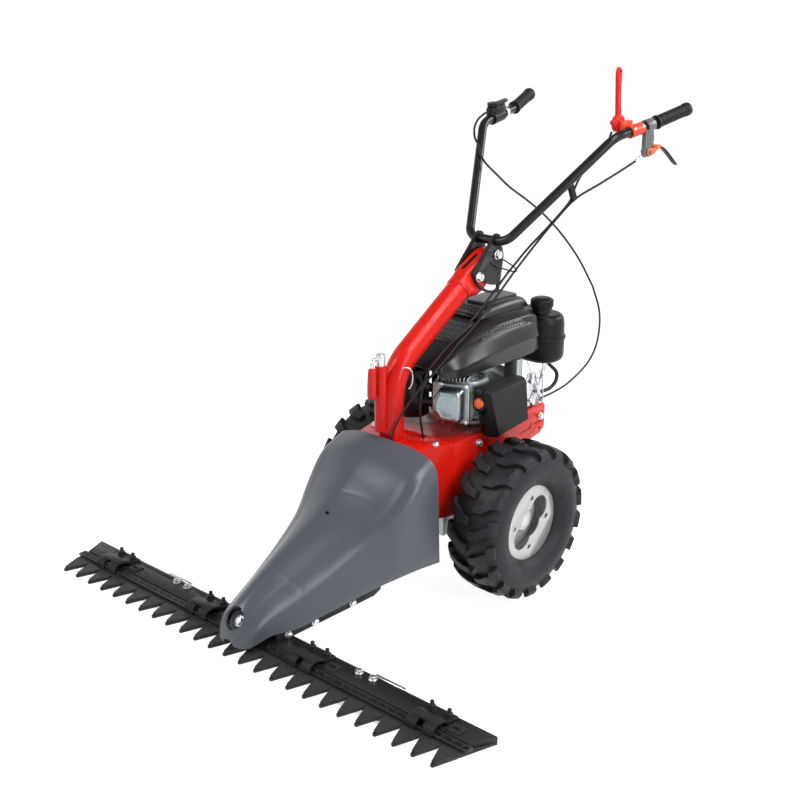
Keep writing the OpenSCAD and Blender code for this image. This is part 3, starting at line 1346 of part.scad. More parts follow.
left_tyre();
right_tyre();
left_rim();
right_rim();
wheel_hubs();
axle_shaft();
axle_gear();
drive_pinion();
gearbox_case();
gearbox_cover();
axle_bushes();
chassis_deck();
left_side_plate();
right_side_plate();
column_socket();
zinc_bolts();
drive_tube();
drive_shaft();
bar_drive_case();
swing_lever();
bar_carrier();
cowl();
bar_beam();
finger_comb();
hold_down_clips();
clip_bolts();
skid_shoes();
knife_back();
knife_sections();
engine_block();
valve_cover();
engine_shroud();
starter_cover();
fuel_tank();
fuel_cap();
air_cleaner_base();
air_cleaner_cover();
primer_bulb();
carburettor();
control_bracket();
fuel_hose();
muffler();
crankshaft();
flywheel();
column_tube();
column_head();
head_bolts();
clamp_screw();
clamp_grip();
bracket_plates();
handlebar_tube();
handlebar_grips();
clutch_bracket();
clutch_lever();
drive_lever_mount();
drive_lever();
throttle_body();
throttle_lever();
control_cables();
throttle_cable();
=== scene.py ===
"""Looks of the sickle bar mower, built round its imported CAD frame.

The part's own frame: +X is the machine's left, +Y its rear, +Z up. Tables, outlines and the sizes given to
Shape, rounded() and mm() are in millimetres. Camera, lights, materials, the cables' radius, the bends of
tubes, walls, the lift of panels and steps along a direction are in metres, as Blender takes them.
"""

import json
import math

import bmesh
import bpy
from mathutils import Matrix, Vector


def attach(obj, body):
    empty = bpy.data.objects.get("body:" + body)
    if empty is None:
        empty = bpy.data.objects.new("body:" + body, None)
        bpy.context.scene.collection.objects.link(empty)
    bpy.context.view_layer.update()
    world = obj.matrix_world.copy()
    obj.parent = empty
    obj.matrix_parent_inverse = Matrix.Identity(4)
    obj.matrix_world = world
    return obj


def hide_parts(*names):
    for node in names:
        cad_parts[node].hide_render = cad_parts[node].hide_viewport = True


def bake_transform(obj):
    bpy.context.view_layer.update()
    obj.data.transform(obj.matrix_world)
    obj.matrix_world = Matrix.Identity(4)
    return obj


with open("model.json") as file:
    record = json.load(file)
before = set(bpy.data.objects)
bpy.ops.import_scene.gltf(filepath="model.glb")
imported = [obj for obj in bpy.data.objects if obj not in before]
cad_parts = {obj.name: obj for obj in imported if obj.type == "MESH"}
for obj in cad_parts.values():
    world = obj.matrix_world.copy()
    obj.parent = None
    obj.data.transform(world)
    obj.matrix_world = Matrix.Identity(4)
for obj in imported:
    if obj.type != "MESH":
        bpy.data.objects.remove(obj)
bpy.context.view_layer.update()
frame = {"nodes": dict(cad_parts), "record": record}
nodes = frame["nodes"]

X, Z = Vector((1, 0, 0)), Vector((0, 0, 1))


def mm(*values):
    """A point given in millimetres, in metres."""
    return Vector(values) * 0.001


def places(*points):
    return [mm(*p) for p in points]


def mirrored(p):
    """A point or direction on the machine's other side."""
    return Vector((-p.x, p.y, p.z))


# Camera

CAMERA_AT = (1.738692, -2.006146, 1.323628)
CAMERA_AZIMUTH, CAMERA_ELEVATION, CAMERA_ROLL = 42.424, 19.15, 0.258
CAMERA_LENS = 59.08


def make_camera():
    data = bpy.data.cameras.new("photo_camera")
    data.lens, data.sensor_width = CAMERA_LENS, 36.0
    data.clip_start, data.clip_end = 0.05, 300.0
    camera = bpy.data.objects.new("photo_camera", data)
    bpy.context.collection.objects.link(camera)
    az, el = math.radians(CAMERA_AZIMUTH), math.radians(CAMERA_ELEVATION)
    back = Vector((math.sin(az) * math.cos(el), -math.cos(az) * math.cos(el), math.sin(el)))
    turn = (-back).to_track_quat("-Z", "Y").to_matrix().to_4x4()
    roll = Matrix.Rotation(math.radians(CAMERA_ROLL), 4, "Z")
    camera.matrix_world = Matrix.Translation(CAMERA_AT) @ turn @ roll
    bpy.context.scene.camera = camera


make_camera()

# Materials

mats = {}


class Graph:
    """A material's node graph, with short ways to add and link nodes."""

    def __init__(self, name):
        self.name = name
        self.material = bpy.data.materials.new(name)
        self.material.use_nodes = True
        self.tree = self.material.node_tree
        self.shader = self.tree.nodes["Principled BSDF"]
        self.place = self.add("ShaderNodeTexCoord").outputs["Object"]

    def add(self, kind, **values):
        node = self.tree.nodes.new(kind)
        for key, value in values.items():
            if key in node.inputs:
                node.inputs[key].default_value = value
            else:
                setattr(node, key, value)
        return node

    def link(self, source, node, socket):
        self.tree.links.new(source, node.inputs[socket])

    def noise(self, scale, detail=4.0, rough=0.55):
        node = self.add("ShaderNodeTexNoise", Scale=scale, Detail=detail, Roughness=rough)
        self.link(self.place, node, "Vector")
        return node.outputs["Fac"]

    def ramp(self, source, stops):
        node = self.add("ShaderNodeValToRGB")
        ramp = node.color_ramp
        while len(ramp.elements) < len(stops):
            ramp.elements.new(0.5)
        for element, (at, color) in zip(ramp.elements, stops):
            element.position, element.color = at, (*color, 1)
        self.link(source, node, "Fac")
        return node.outputs["Color"]

    def range(self, source, low, high, from_low=0.3, from_high=0.7):
        ends = {"From Min": from_low, "From Max": from_high, "To Min": low, "To Max": high}
        node = self.add("ShaderNodeMapRange", **ends)
        self.link(source, node, "Value")
        return node.outputs["Result"]

    def mix(self, factor, first, second):
        node = self.add("ShaderNodeMix", data_type="RGBA")
        for socket, value in ((0, factor), (6, first), (7, second)):
            if isinstance(value, bpy.types.NodeSocket):
                self.tree.links.new(value, node.inputs[socket])
            else:
                node.inputs[socket].default_value = value if socket == 0 else (*value, 1)
        return node.outputs[2]

    def bump(self, source, strength, distance, after=None):
        node = self.add("ShaderNodeBump", Strength=strength, Distance=distance)
        self.link(source, node, "Height")
        if after:
            self.link(after, node, "Normal")
        return node.outputs["Normal"]

    def soft_edges(self, radius):
        return self.add("ShaderNodeBevel", samples=4, Radius=radius).outputs["Normal"]

    def wear(self, amount, base, color):
        """Mixes the colour of worn edges into the base colour."""
        edges = self.range(self.add("ShaderNodeNewGeometry").outputs["Pointiness"], 0, 1, 0.52, 0.6)
        return self.mix(self.range(edges, 0, amount, 0.0, 1.0), base, color)

    def set(self, color, roughness, normal, **fixed):
        """Links the shader's inputs, sets its fixed ones and keeps the material under its name."""
        for source, socket in ((color, "Base Color"), (roughness, "Roughness"), (normal, "Normal")):
            self.link(source, self.shader, socket)
        for socket, value in fixed.items():
            self.shader.inputs[socket.replace("_", " ")].default_value = value
        mats[self.name] = self.material


def shade(color, factor, lift=0.0):
    return tuple(min(1, c * factor + lift) for c in color)


def paint(name, color, rough=0.26, peel=0.15, chips=0.12, coat=0.1, edge=0.0012, level=0.25):
    """Sprayed paint: slight orange peel, dust in the shine and lighter wear on the edges."""
    g = Graph(name)
    base = g.ramp(g.noise(9, 5), [(0.3, shade(color, 0.9)), (0.75, shade(color, 1.06))])
    worn = g.wear(chips, base, shade(color, 1.5, 0.05))
    roughness = g.range(g.noise(22, 6), rough * 0.8, rough * 1.5)
    normal = g.bump(g.noise(420, 2), peel, 0.0004, g.soft_edges(edge))
    g.set(worn, roughness, normal, Coat_Weight=coat, Coat_Roughness=0.12, Specular_IOR_Level=level)


def plastic(name, color, rough=0.36, grain=900, depth=0.3, edge=0.0015, spread=0.12, level=0.5, uneven=0.2):
    """Moulded plastic: fine grain, slow colour drift and uneven gloss."""
    g = Graph(name)
    base = g.ramp(g.noise(6, 4), [(0.3, shade(color, 1 - spread)), (0.72, shade(color, 1 + spread))])
    worn = g.wear(0.25, base, shade(color, 1.8, 0.015))
    roughness = g.range(g.noise(16, 6), rough * (1 - uneven), rough * (1 + uneven))
    normal = g.bump(g.noise(grain, 3), depth, 0.0003, g.soft_edges(edge))
    g.set(worn, roughness, normal, Specular_IOR_Level=level)


def metal(name, color, rough=0.3, scale=180, depth=0.12, stain=0.75, metallic=1.0, level=0.5):
    """Bare or plated metal: fine grain, stains and brighter edges."""
    g = Graph(name)
    base = g.ramp(g.noise(14, 6), [(0.28, shade(color, stain)), (0.66, color)])
    worn = g.wear(0.6, base, shade(color, 1.25, 0.04))
    grain = g.noise(scale, 5, 0.6)
    roughness = g.range(grain, rough * 0.72, rough * 1.35)
    normal = g.bump(grain, depth, 0.0004, g.soft_edges(0.0008))
    g.set(worn, roughness, normal, Metallic=metallic, Specular_IOR_Level=level)


def rubber(name, color, rough=0.68, dust=0.2, grain=260, depth=0.35, edge=0.002, level=0.14, painted_light_colour=None):
    """Rubber: matt and grainy, with light dust left on it in clouds. The colour given last is painted light:
    ambient occlusion lays it on open faces, so grooves and corners keep the darker base colour as painted
    shade.
    """
    g = Graph(name)
    base = g.ramp(g.noise(26, 7, 0.62), [(0.34, color), (0.74, tuple(c + dust * (0.11 - c) for c in color))])
    # Painted light on open faces and painted shade in grooves and corners, from ambient occlusion
    if painted_light_colour:
        near = g.add("ShaderNodeAmbientOcclusion", samples=6, Distance=0.014).outputs["AO"]
        base = g.mix(g.range(near, 0, 1, 0.45, 0.95), base, painted_light_colour)
    roughness = g.range(g.noise(40, 5), rough * 0.85, min(1.0, rough * 1.2))
    normal = g.bump(g.noise(grain, 4), depth, 0.0006, g.soft_edges(edge))
    g.set(base, roughness, normal, Specular_IOR_Level=level)


def perforated(name, color, pitch, hole):
    """Black sheet pressed into a staggered mesh of small holes; the holes are painted near-black as painted
    shade.
    """
    g = Graph(name)
    cells = g.add("ShaderNodeTexVoronoi", Scale=1 / pitch, Randomness=0.0, feature="F1")
    mapping = g.add("ShaderNodeMapping", Rotation=(0, 0, math.radians(45)))
    g.link(g.place, mapping, "Vector")
    g.link(mapping.outputs["Vector"], cells, "Vector")
    depth = g.range(cells.outputs["Distance"], 0, 1, hole, hole + 0.08)
    # Painted shade: the holes are coloured near-black for the dark inside them
    base = g.mix(depth, (0.002, 0.002, 0.002), color)
    normal = g.bump(depth, 0.9, 0.0015)
    g.set(base, g.range(depth, 0.85, 0.3, 0, 1), normal)


RED = (0.62, 0.010, 0.005)
paint("red_paint", RED, chips=0.0, rough=0.24, coat=0.06, level=0.2)
paint("black_paint", (0.010, 0.010, 0.011), rough=0.24, peel=0.06, coat=0.06, level=0.26)
# The tyre's open faces get painted light; its grooves keep the darker colour as painted shade
rubber("tyre_rubber", (0.010, 0.0105, 0.012), rough=0.44, dust=0.08, edge=0.0006, level=0.18,
       painted_light_colour=(0.021, 0.0225, 0.026))
rubber("black_rubber", (0.008, 0.008, 0.009), rough=0.42, dust=0.05, grain=700, depth=0.15, level=0.25)
metal("zinc", (0.66, 0.67, 0.69), rough=0.3)
metal("rim_silver", (0.50, 0.51, 0.51), rough=0.36, metallic=0.75, scale=240, stain=0.86)
metal("bracket_grey", (0.13, 0.135, 0.145), rough=0.4, metallic=0.3)
metal("hub_steel", (0.62, 0.64, 0.63), rough=0.42, metallic=0.1, stain=0.85)
metal("dark_steel", (0.012, 0.011, 0.0115), rough=0.4, depth=0.25, scale=120, stain=0.6, metallic=0.15,
      level=0.22)
metal("cast_alloy", (0.38, 0.41, 0.42), rough=0.42, scale=320, depth=0.35, stain=0.82)
metal("valve_alloy", (0.30, 0.35, 0.37), rough=0.3, scale=300, depth=0.12, stain=0.9)
plastic("black_plastic", (0.010, 0.0095, 0.011), rough=0.36, level=0.15)
plastic("gloss_black", (0.010, 0.010, 0.011), rough=0.30, depth=0.1, level=0.42)
plastic("grey_plastic", (0.074, 0.083, 0.100), rough=0.30, grain=260, depth=0.03, edge=0.0008, spread=0.0,
        level=0.42, uneven=0.03)
metal("bronze", (0.62, 0.45, 0.22), rough=0.32)
plastic("orange_plastic", (0.66, 0.12, 0.035), rough=0.28, depth=0.1, level=0.3)
plastic("red_plastic", (0.60, 0.012, 0.008), rough=0.28, depth=0.1, level=0.3)
plastic("lever_orange", (0.62, 0.055, 0.02), rough=0.3, depth=0.1, level=0.3)
perforated("vent_mesh", (0.050, 0.050, 0.053), 0.0066, 0.30)
# Painted shade: a near-black material laid in holes, slots and slits in place of the shade inside them
plastic("painted_hole_shade", (0.004, 0.004, 0.004), rough=0.8, level=0.1)

slot_of = {entry["node"]: entry["material_slot"] for entry in frame["record"]["subparts"]}
look_of = dict(slot_of)
for node_name, slot_name in slot_of.items():
    mesh = nodes[node_name].data
    mesh.materials.clear()
    mesh.materials.append(mats[slot_name])


def dress(name, *node_names):
    """Gives carried-over CAD nodes another material."""
    for node in node_names:
        nodes[node].data.materials[0] = mats[name]
        look_of[node] = name


dress("rim_silver", "left_rim", "right_rim")
dress("hub_steel", "wheel_hubs", "axle_shaft")
dress("bracket_grey", "clutch_bracket")
dress("lever_orange", "drive_lever_mount")
dress("valve_alloy", "valve_cover")
dress("gloss_black", "engine_shroud")

# Mesh helpers


def finish_piece(name, mesh, slot, body, material=None, smooth_angle=38, replaces=()):
    """Makes a mesh into a piece: smooth shading, its material (the slot's, unless another is given), body
    and the nodes it stands for.
    """
    mesh.polygons.foreach_set("use_smooth", [True] * len(mesh.polygons))
    mesh.set_sharp_from_angle(angle=math.radians(smooth_angle))
    mesh.materials.clear()
    mesh.materials.append(mats[material or slot])
    obj = bpy.data.objects.new(name, mesh)
    bpy.context.collection.objects.link(obj)
    if body:
        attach(obj, body)
    for node in replaces:
        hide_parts(node)
    return obj


def piece(name, vertices, faces, slot, body=None, material=None, replaces=()):
    """A piece from its points and faces, smooth all over."""
    mesh = bpy.data.meshes.new(name)
    mesh.from_pydata([tuple(v) for v in vertices], [], faces)
    mesh.validate()
    return finish_piece(name, mesh, slot, body, material, 180, replaces)


def quads(rings, n, ring=True):
    """Faces between rings, or open rows, of n points each."""
    return [(i * n + k, i * n + (k + 1) % n, (i + 1) * n + (k + 1) % n, (i + 1) * n + k)
            for i in range(rings - 1) for k in range(n if ring else n - 1)]


def end_caps(rings, n):
    return [tuple(reversed(range(n))), tuple(range((rings - 1) * n, rings * n))]


def circle(count):
    """Angles all round, evenly."""
    return [math.tau * k / count for k in range(count)]


def squared(part, radius, power):
    """A coordinate on a squared ellipse, from the angle's cosine or sine; power 1 leaves the ellipse."""
    return radius * math.copysign(abs(part) ** power, part)


def spline(points, steps):
    """The CAD source's smooth curve through the points."""
    last, out = len(points) - 1, []
    for i in range(last):
        a, b, c, d = points[max(i - 1, 0)], points[i], points[i + 1], points[min(i + 2, last)]
        for k in range(steps):
            t = k / steps
            square, cube = 2 * a - 5 * b + 4 * c - d, 3 * b - a - 3 * c + d
            out.append(0.5 * (2 * b + (c - a) * t + square * t**2 + cube * t**3))
    return out + [points[last]]


def arc_corner(a, b, c, r, steps):
    """The arc of radius r that rounds the corner of a tube at b."""
    u, v = (a - b).normalized(), (c - b).normalized()
    half = math.acos(max(-1, min(1, u.dot(v)))) / 2
    middle = b + (u + v).normalized() * (r / math.sin(half))
    x = (b + u * (r / math.tan(half)) - middle).normalized()
    turns = [(math.pi - 2 * half) * k / steps for k in range(steps + 1)]
    return [middle + r * (x * math.cos(turn) - u * math.sin(turn)) for turn in turns]


def ring_frames(path):
    """For each point of a path: its heading and a side direction carried along without twist."""
    last = len(path) - 1
    heads = [(path[min(i + 1, last)] - path[max(i - 1, 0)]).normalized() for i in range(last + 1)]
    side = heads[0].cross(Vector((0.31, 0.52, 0.79)))
    frames = []
    for head in heads:
        side = (side - head * side.dot(head)).normalized()
        frames.append((head, side))
    return frames


def tube_mesh(path, radius, sides):
    """Vertices and faces of a closed round tube; radius is a number or one for each point."""
    radii = radius if isinstance(radius, list) else [radius] * len(path)
    vertices = []
    for p, (head, side), r in zip(path, ring_frames(path), radii):
        up = head.cross(side)
        vertices += [p + r * (math.cos(a) * side + math.sin(a) * up) for a in circle(sides)]
    return vertices, quads(len(path), sides) + end_caps(len(path), sides)


# Cables

CABLE_R = 0.0025
CLUTCH_ROUTE = places(
    (190, 458, 888), (176, 420, 868), (152, 362, 838), (128, 310, 810), (112, 262, 768), (98, 214, 722),
    (84, 160, 668), (74, 100, 610), (66, 50, 566), (60, 6, 536), (60, -26, 514), (56, -64, 489),
    (47, -103, 456), (37, -135, 419), (29, -150, 388), (25, -155, 366), (24, -156, 348.5))
DRIVE_ROUTE = places(
    (148, 404, 944), (151, 386, 926), (147, 354, 896), (134, 328, 868), (126, 312, 838), (121, 298, 804),
    (102, 254, 756), (82, 210, 712), (64, 164, 662), (56, 120, 620), (52, 70, 582), (48, 30, 552),
    (46, 0, 536), (45, -30, 518), (43, -62, 494), (40, -76, 462), (36, -80, 420), (34, -77, 384),
    (36, -73, 360), (38, -72, 346))
THROTTLE_ROUTE = places(
    (-178, 386, 961), (-180, 372, 957), (-184, 355, 944), (-181, 341, 926), (-163, 323, 908),
    (-144, 313, 897), (-128, 299, 881), (-110, 297, 862), (-92, 313, 838), (-78, 346, 806), (-68, 395, 773),
    (-62, 458, 730), (-54, 520, 676), (-30, 562, 613), (0, 584, 545),
    (25, 582, 485), (50, 542, 429), (75, 470, 396), (94, 371, 376), (101.5, 300, 370), (101.5, 249, 368))


def cable(name, route, split, node):
    """A control cable in two lengths that meet on the column.

    The upper one runs from the point of its route that the handlebar still holds, the lower one on between
    the column and the frame.
    """
    upper, lower = spline(route[: split + 1], 6), spline(route[split:], 6)
    top = piece(name + "_upper", *tube_mesh(upper, CABLE_R, 12), "black_rubber", replaces=[node])
    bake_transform(top)
    low = piece(name + "_lower", *tube_mesh(lower, CABLE_R, 12), "black_rubber", replaces=[node])
    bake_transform(low)


cable("clutch_cable", CLUTCH_ROUTE, 6, "control_cables")
cable("drive_cable", DRIVE_ROUTE, 8, "control_cables")
cable("throttle_cable_loop", THROTTLE_ROUTE, 14, "throttle_cable")

# Shapes built up in bmesh

bodies = frame["record"]["behaviour"]["bodies"]
BODY_OF = {node: body for body, members in bodies.items() for node in members}


def towards(axis, at):
    """A placement whose Z runs along axis, at a point."""
    return Matrix.Translation(at) @ Vector(axis).to_track_quat("Z", "Y").to_matrix().to_4x4()


def lerp(a, b, t):
    return a + (b - a) * t


def along_table(table, u):
    """Values between the rows of a table whose first column is u."""
    for low, high in zip(table, table[1:]):
        if u <= high[0]:
            t = (u - low[0]) / (high[0] - low[0])
            return [lerp(a, b, t) for a, b in zip(low[1:], high[1:])]
    return list(table[-1][1:])


class Shape:
    """A mesh put together from turned, extruded, stacked and swept forms, with sizes in millimetres."""

    def __init__(self):
        self.bm = bmesh.new()

    def add(self, vertices, faces):
        made = [self.bm.verts.new(v) for v in vertices]
        for face in faces:
            try:
                self.bm.faces.new([made[i] for i in face])
            except ValueError:
                continue
        return self

    def lathe(self, profile, place, sides=48):
        """Turns (radius, height) points round the placement's Z. A radius of 0 closes an end."""
        vertices, faces, rings = [], [], []
        for r, h in profile:
            count = 1 if r < 1e-4 else sides
            rings.append((len(vertices), count))
            vertices += [place @ mm(r * math.cos(a), r * math.sin(a), h) for a in circle(sides)[:count]]
        for (a, na), (b, nb) in zip(rings, rings[1:]):
            for k in range(sides):
                n = (k + 1) % sides
                face = list(dict.fromkeys((a + k % na, a + n % na, b + n % nb, b + k % nb)))
                if len(face) > 2:
                    faces.append(face)
        return self.add(vertices, faces)

    def prism(self, outline, low, high, place, bevel=0.0, segments=2):
        """Extrudes a flat outline along the placement's Z, with rounded edges."""
        part = bmesh.new()
        bottom = [part.verts.new(mm(x, y, low)) for x, y in outline]
        top = [part.verts.new(mm(x, y, high)) for x, y in outline]
        part.faces.new(top)
        part.faces.new(list(reversed(bottom)))
        for k in range(len(outline)):
            n = (k + 1) % len(outline)
            part.faces.new((bottom[k], bottom[n], top[n], top[k]))
        bmesh.ops.recalc_face_normals(part, faces=part.faces)
        if bevel:
            sharp = [e for e in part.edges if e.calc_face_angle(0) > 0.6]
            bmesh.ops.bevel(part, geom=sharp, offset=bevel * 0.001, segments=segments, profile=0.5,
                            affect="EDGES")
        part.transform(place)
        vertices = [v.co.copy() for v in part.verts]
        part.verts.index_update()
        self.add(vertices, [[v.index for v in f.verts] for f in part.faces])
        part.free()
        return self

    def stack(self, rings, place=Matrix()):
        """Joins outlines of one point count, each given with its height, and closes both ends."""
        vertices = [place @ mm(x, y, h) for h, outline in rings for x, y in outline]
        n = len(rings[0][1])
        return self.add(vertices, quads(len(rings), n) + end_caps(len(rings), n))

    def inset_stack(self, outline, steps, place=Matrix()):
        """Stacks an outline at (height, inset) steps."""
        return self.stack([(h, offset_outline(outline, inset)) for h, inset in steps], place)

    def tube(self, path, radius, sides=12):
        return self.add(*tube_mesh(path, radius * 0.001, sides))

    def hex_bolt(self, at, axis, size):
        """A hexagon head with its turned chamfer, on a washer."""
        place, base, wide = towards(axis, at), 0.16 * size, 1.08 * size
        self.lathe([(0, 0), (wide, 0), (1.12 * size, 0.08 * size), (wide, base), (0, base)], place, 24)
        across = 0.93 * size
        hexagon = [(across * math.cos(a), across * math.sin(a)) for a in circle(6)]
        flat, top = base + 0.62 * size, base + 0.72 * size
        self.prism(hexagon, base, flat, place, 0.07 * size)
        self.lathe([(0, flat), (0.72 * size, flat), (0.55 * size, top), (0, top)], place, 24)
        return self

    def make(self, name, slot, body="frame", material=None, smooth_angle=38, replaces=()):
        bmesh.ops.recalc_face_normals(self.bm, faces=self.bm.faces)
        mesh = bpy.data.meshes.new(name)
        self.bm.to_mesh(mesh)
        self.bm.free()
        return finish_piece(name, mesh, slot, body, material, smooth_angle, replaces)


def applied(obj):
    """The object's mesh with its modifiers put in."""
    bpy.context.view_layer.update()
    shown = obj.evaluated_get(bpy.context.evaluated_depsgraph_get())
    mesh = bpy.data.meshes.new_from_object(shown)
    obj.modifiers.clear()
    obj.data = mesh
    return obj


def cut_out(obj, cutter):
    """Takes the cutter's form out of an object."""
    cut = obj.modifiers.new("cut", "BOOLEAN")
    cut.object, cut.operation, cut.solver = cutter, "DIFFERENCE", "EXACT"
    applied(obj)
    bpy.data.objects.remove(cutter)


def rounded(node, width):
    """Stands for a CAD node with the same solid, its edges rounded off."""
    part = bmesh.new()
    part.from_mesh(nodes[node].data)
    bmesh.ops.remove_doubles(part, verts=part.verts, dist=2e-6)
    bmesh.ops.dissolve_limit(part, angle_limit=math.radians(1.2), use_dissolve_boundaries=False,
                             verts=part.verts, edges=part.edges, delimit={"NORMAL"})
    sharp = [e for e in part.edges if len(e.link_faces) == 2 and e.calc_face_angle(0) > math.radians(32)]
    bmesh.ops.bevel(part, geom=sharp, offset=width * 0.001, offset_type="OFFSET", segments=2, profile=0.5,
                    affect="EDGES", clamp_overlap=True, loop_slide=True)
    mesh = bpy.data.meshes.new(node + "_rounded")
    part.to_mesh(mesh)
    part.free()
    return finish_piece(node + "_rounded", mesh, slot_of[node], BODY_OF[node], look_of[node],
                        replaces=[node])


# Wheels

TYRE_R, LUG_H, LUG_COUNT, TREAD_TURN = 169.5, 13, 18, math.radians(3.7)
WHEEL_X, AXLE = 193, mm(0, 54, TYRE_R)
# Outside of the lugs and their feet on the carcass: way across the tread, distance from its middle, radius
LUG_TOP = [(0, 0, 169.5), (32.5, 32.5, 168.6), (46, 46, 166.2), (58, 57, 161), (70, 62.5, 150),
           (82, 64.5, 139)]
LUG_FOOT = [(0, 0, 155), (32.5, 32.5, 155), (46, 43, 154), (58, 51, 150.5), (70, 57.5, 142), (82, 60.5, 132)]
LONG_LUG = [(2.5, -12), (2.5, 5), (22, 9), (38, 22), (52, 26), (69, 27), (69, 10), (54, 9), (43, 5),
            (26, -10)]
SHOULDER_BLOCK = [(47, -9), (49, 6), (69, 9), (69, -8)]
CARCASS = [(0, 158.2), (18, 158), (34, 157.2), (44, 155.8), (50, 152), (55.5, 145), (59.6, 136), (62, 126),
           (62.6, 117.5), (61.4, 110), (60.4, 106.5), (60.6, 105.6), (59.8, 103.2), (57, 98.6), (53, 93.4),
           (49, 89.2), (46, 86.6), (43.6, 84.8), (41, 83.2), (37, 81.6), (34, 79)]


def flat_lug(outline):
    """A lug before it is laid on the tread: points (way across, way round, height) and faces."""
    part = bmesh.new()
    middle = Vector((sum(p[0] for p in outline), sum(p[1] for p in outline))) / len(outline)
    foot = [part.verts.new((*(middle + (Vector(p) - middle) * 1.07), -2)) for p in outline]
    top = [part.verts.new((*p, LUG_H)) for p in outline]
    face = part.faces.new(top)
    for k in range(len(outline)):
        n = (k + 1) % len(outline)
        part.faces.new((foot[k], foot[n], top[n], top[k]))
    bmesh.ops.bevel(part, geom=list(face.edges), offset=1.1, segments=1, profile=0.5, affect="EDGES")
    cuts = [((u, 0, 0), (1, 0, 0)) for u in range(8, 80, 8)]
    cuts += [((0, v, 0), (0, 1, 0)) for v in range(-16, 40, 8)]
    for at, normal in cuts:
        everything = part.verts[:] + part.edges[:] + part.faces[:]
        bmesh.ops.bisect_plane(part, geom=everything, plane_co=at, plane_no=normal)
    bmesh.ops.triangulate(part, faces=[f for f in part.faces if len(f.verts) > 4])
    part.verts.index_update()
    made = [v.co.copy() for v in part.verts], [[v.index for v in f.verts] for f in part.faces]
    part.free()
    return made


def wheel_place(side):
    return towards(X * side, AXLE + mm(side * WHEEL_X, 0, 0))


def make_tyre(name, node, side):
    shape = Shape()
    half = [(r, x) for x, r in CARCASS]
    shape.lathe([(r, -h) for r, h in reversed(half)] + half[1:], wheel_place(side), 120)
    for outline, offset in ((LONG_LUG, 0), (SHOULDER_BLOCK, -195 / LUG_COUNT)):
        points, faces = flat_lug(outline)
        for i in range(LUG_COUNT):
            for flank in (0, 1):
                turn = math.tau * (i + flank / 2) / LUG_COUNT + TREAD_TURN + math.radians(offset)
                vertices = []
                for u, v, h in points:
                    (x0, r0), (x1, r1) = along_table(LUG_FOOT, u), along_table(LUG_TOP, u)
                    x, r = lerp(x0, x1, h / LUG_H), lerp(r0, r1, h / LUG_H)
                    a = turn - v / TYRE_R
                    x = (-x if flank else x) + WHEEL_X
                    vertices.append(mm(side * x, -r * math.sin(a), r * math.cos(a)) + AXLE)
                shape.add(vertices, faces)
    return shape.make(name, "tyre_rubber", "wheels", smooth_angle=24, replaces=[node])


make_tyre("tyre_left", "left_tyre", 1)
make_tyre("tyre_right", "right_tyre", -1)

# Cowl

COMB_Z = 36
COWL_ROWS = [Vector(row) for row in (
    (-584, 30, 12, 27, 13, 20), (-581, 48, 24, 39, 25, 20), (-572, 68, 36, 49, 38, 20),
    (-557, 86, 45, 59, 47, 27), (-527, 107, 48, 78, 56, 36), (-474, 137, 58, 101, 71, 36),
    (-400, 173, 74, 137, 91, 52), (-330, 206, 91, 172, 109, 67), (-290, 231, 109, 191, 117, 74),
    (-250, 264, 130, 220, 127, 80), (-200, 304, 140, 274, 136, 84), (-146, 326, 139, 300, 148, 86))]
REAR_EDGE, REAR_START, REAR_CUT = -146, -200, 18
NOSE_BOLT, NOSE_TILT = mm(0, -556, 93), math.radians(52)
NOSE_AXIS = Vector((0, -math.sin(NOSE_TILT), math.cos(NOSE_TILT)))
CUP_R = 15.5


def cowl_half(row):
    """Half a section of the cowl, from its crown over the soft ridge to the bottom edge."""
    crown, ridge, edge = Vector((0, row[1])), Vector((row[2], row[3])), Vector((row[4], row[5]))
    soft = max(0.0, min(1.0, (-row[0] - 300) / 100))
    before = ridge + (crown - ridge) * lerp(0.22, 0.38, soft)
    after = ridge + (edge - ridge) * lerp(0.18, 0.34, soft)
    lean = Vector((before[0] * 0.55, crown[1] - lerp(0.16, 0.0, soft) * (crown[1] - before[1])))

    def bezier(a, b, c, t):
        return (1 - t) ** 2 * a + 2 * t * (1 - t) * b + t * t * c

    return ([bezier(crown, lean, before, k / 12) for k in range(12)]
            + [bezier(before, ridge, after, k / 9) for k in range(9)]
            + [after + (edge - after) * (k / 6) for k in range(7)])


# Fine grooves over the cowl: place along Y at the crown, and the way they run back by the ridge
GROOVES = [(-279, 33), (-480, 28)]


def grooved(half, y):
    """Presses the grooves into half a section."""
    middle, out = Vector((0, half[-1][1] + 0.3 * (half[0][1] - half[-1][1]))), []
    for k, p in enumerate(half):
        across = min(1.0, k / 17)
        depth = sum(math.exp(-(((y - at - back * across) / 2.4) ** 2)) for at, back in GROOVES)
        fade = 1.0 if k < 17 else max(0.0, 1 - (k - 17) / 4)
        out.append(p - (p - middle).normalized() * (0.8 * depth * fade))
    return out


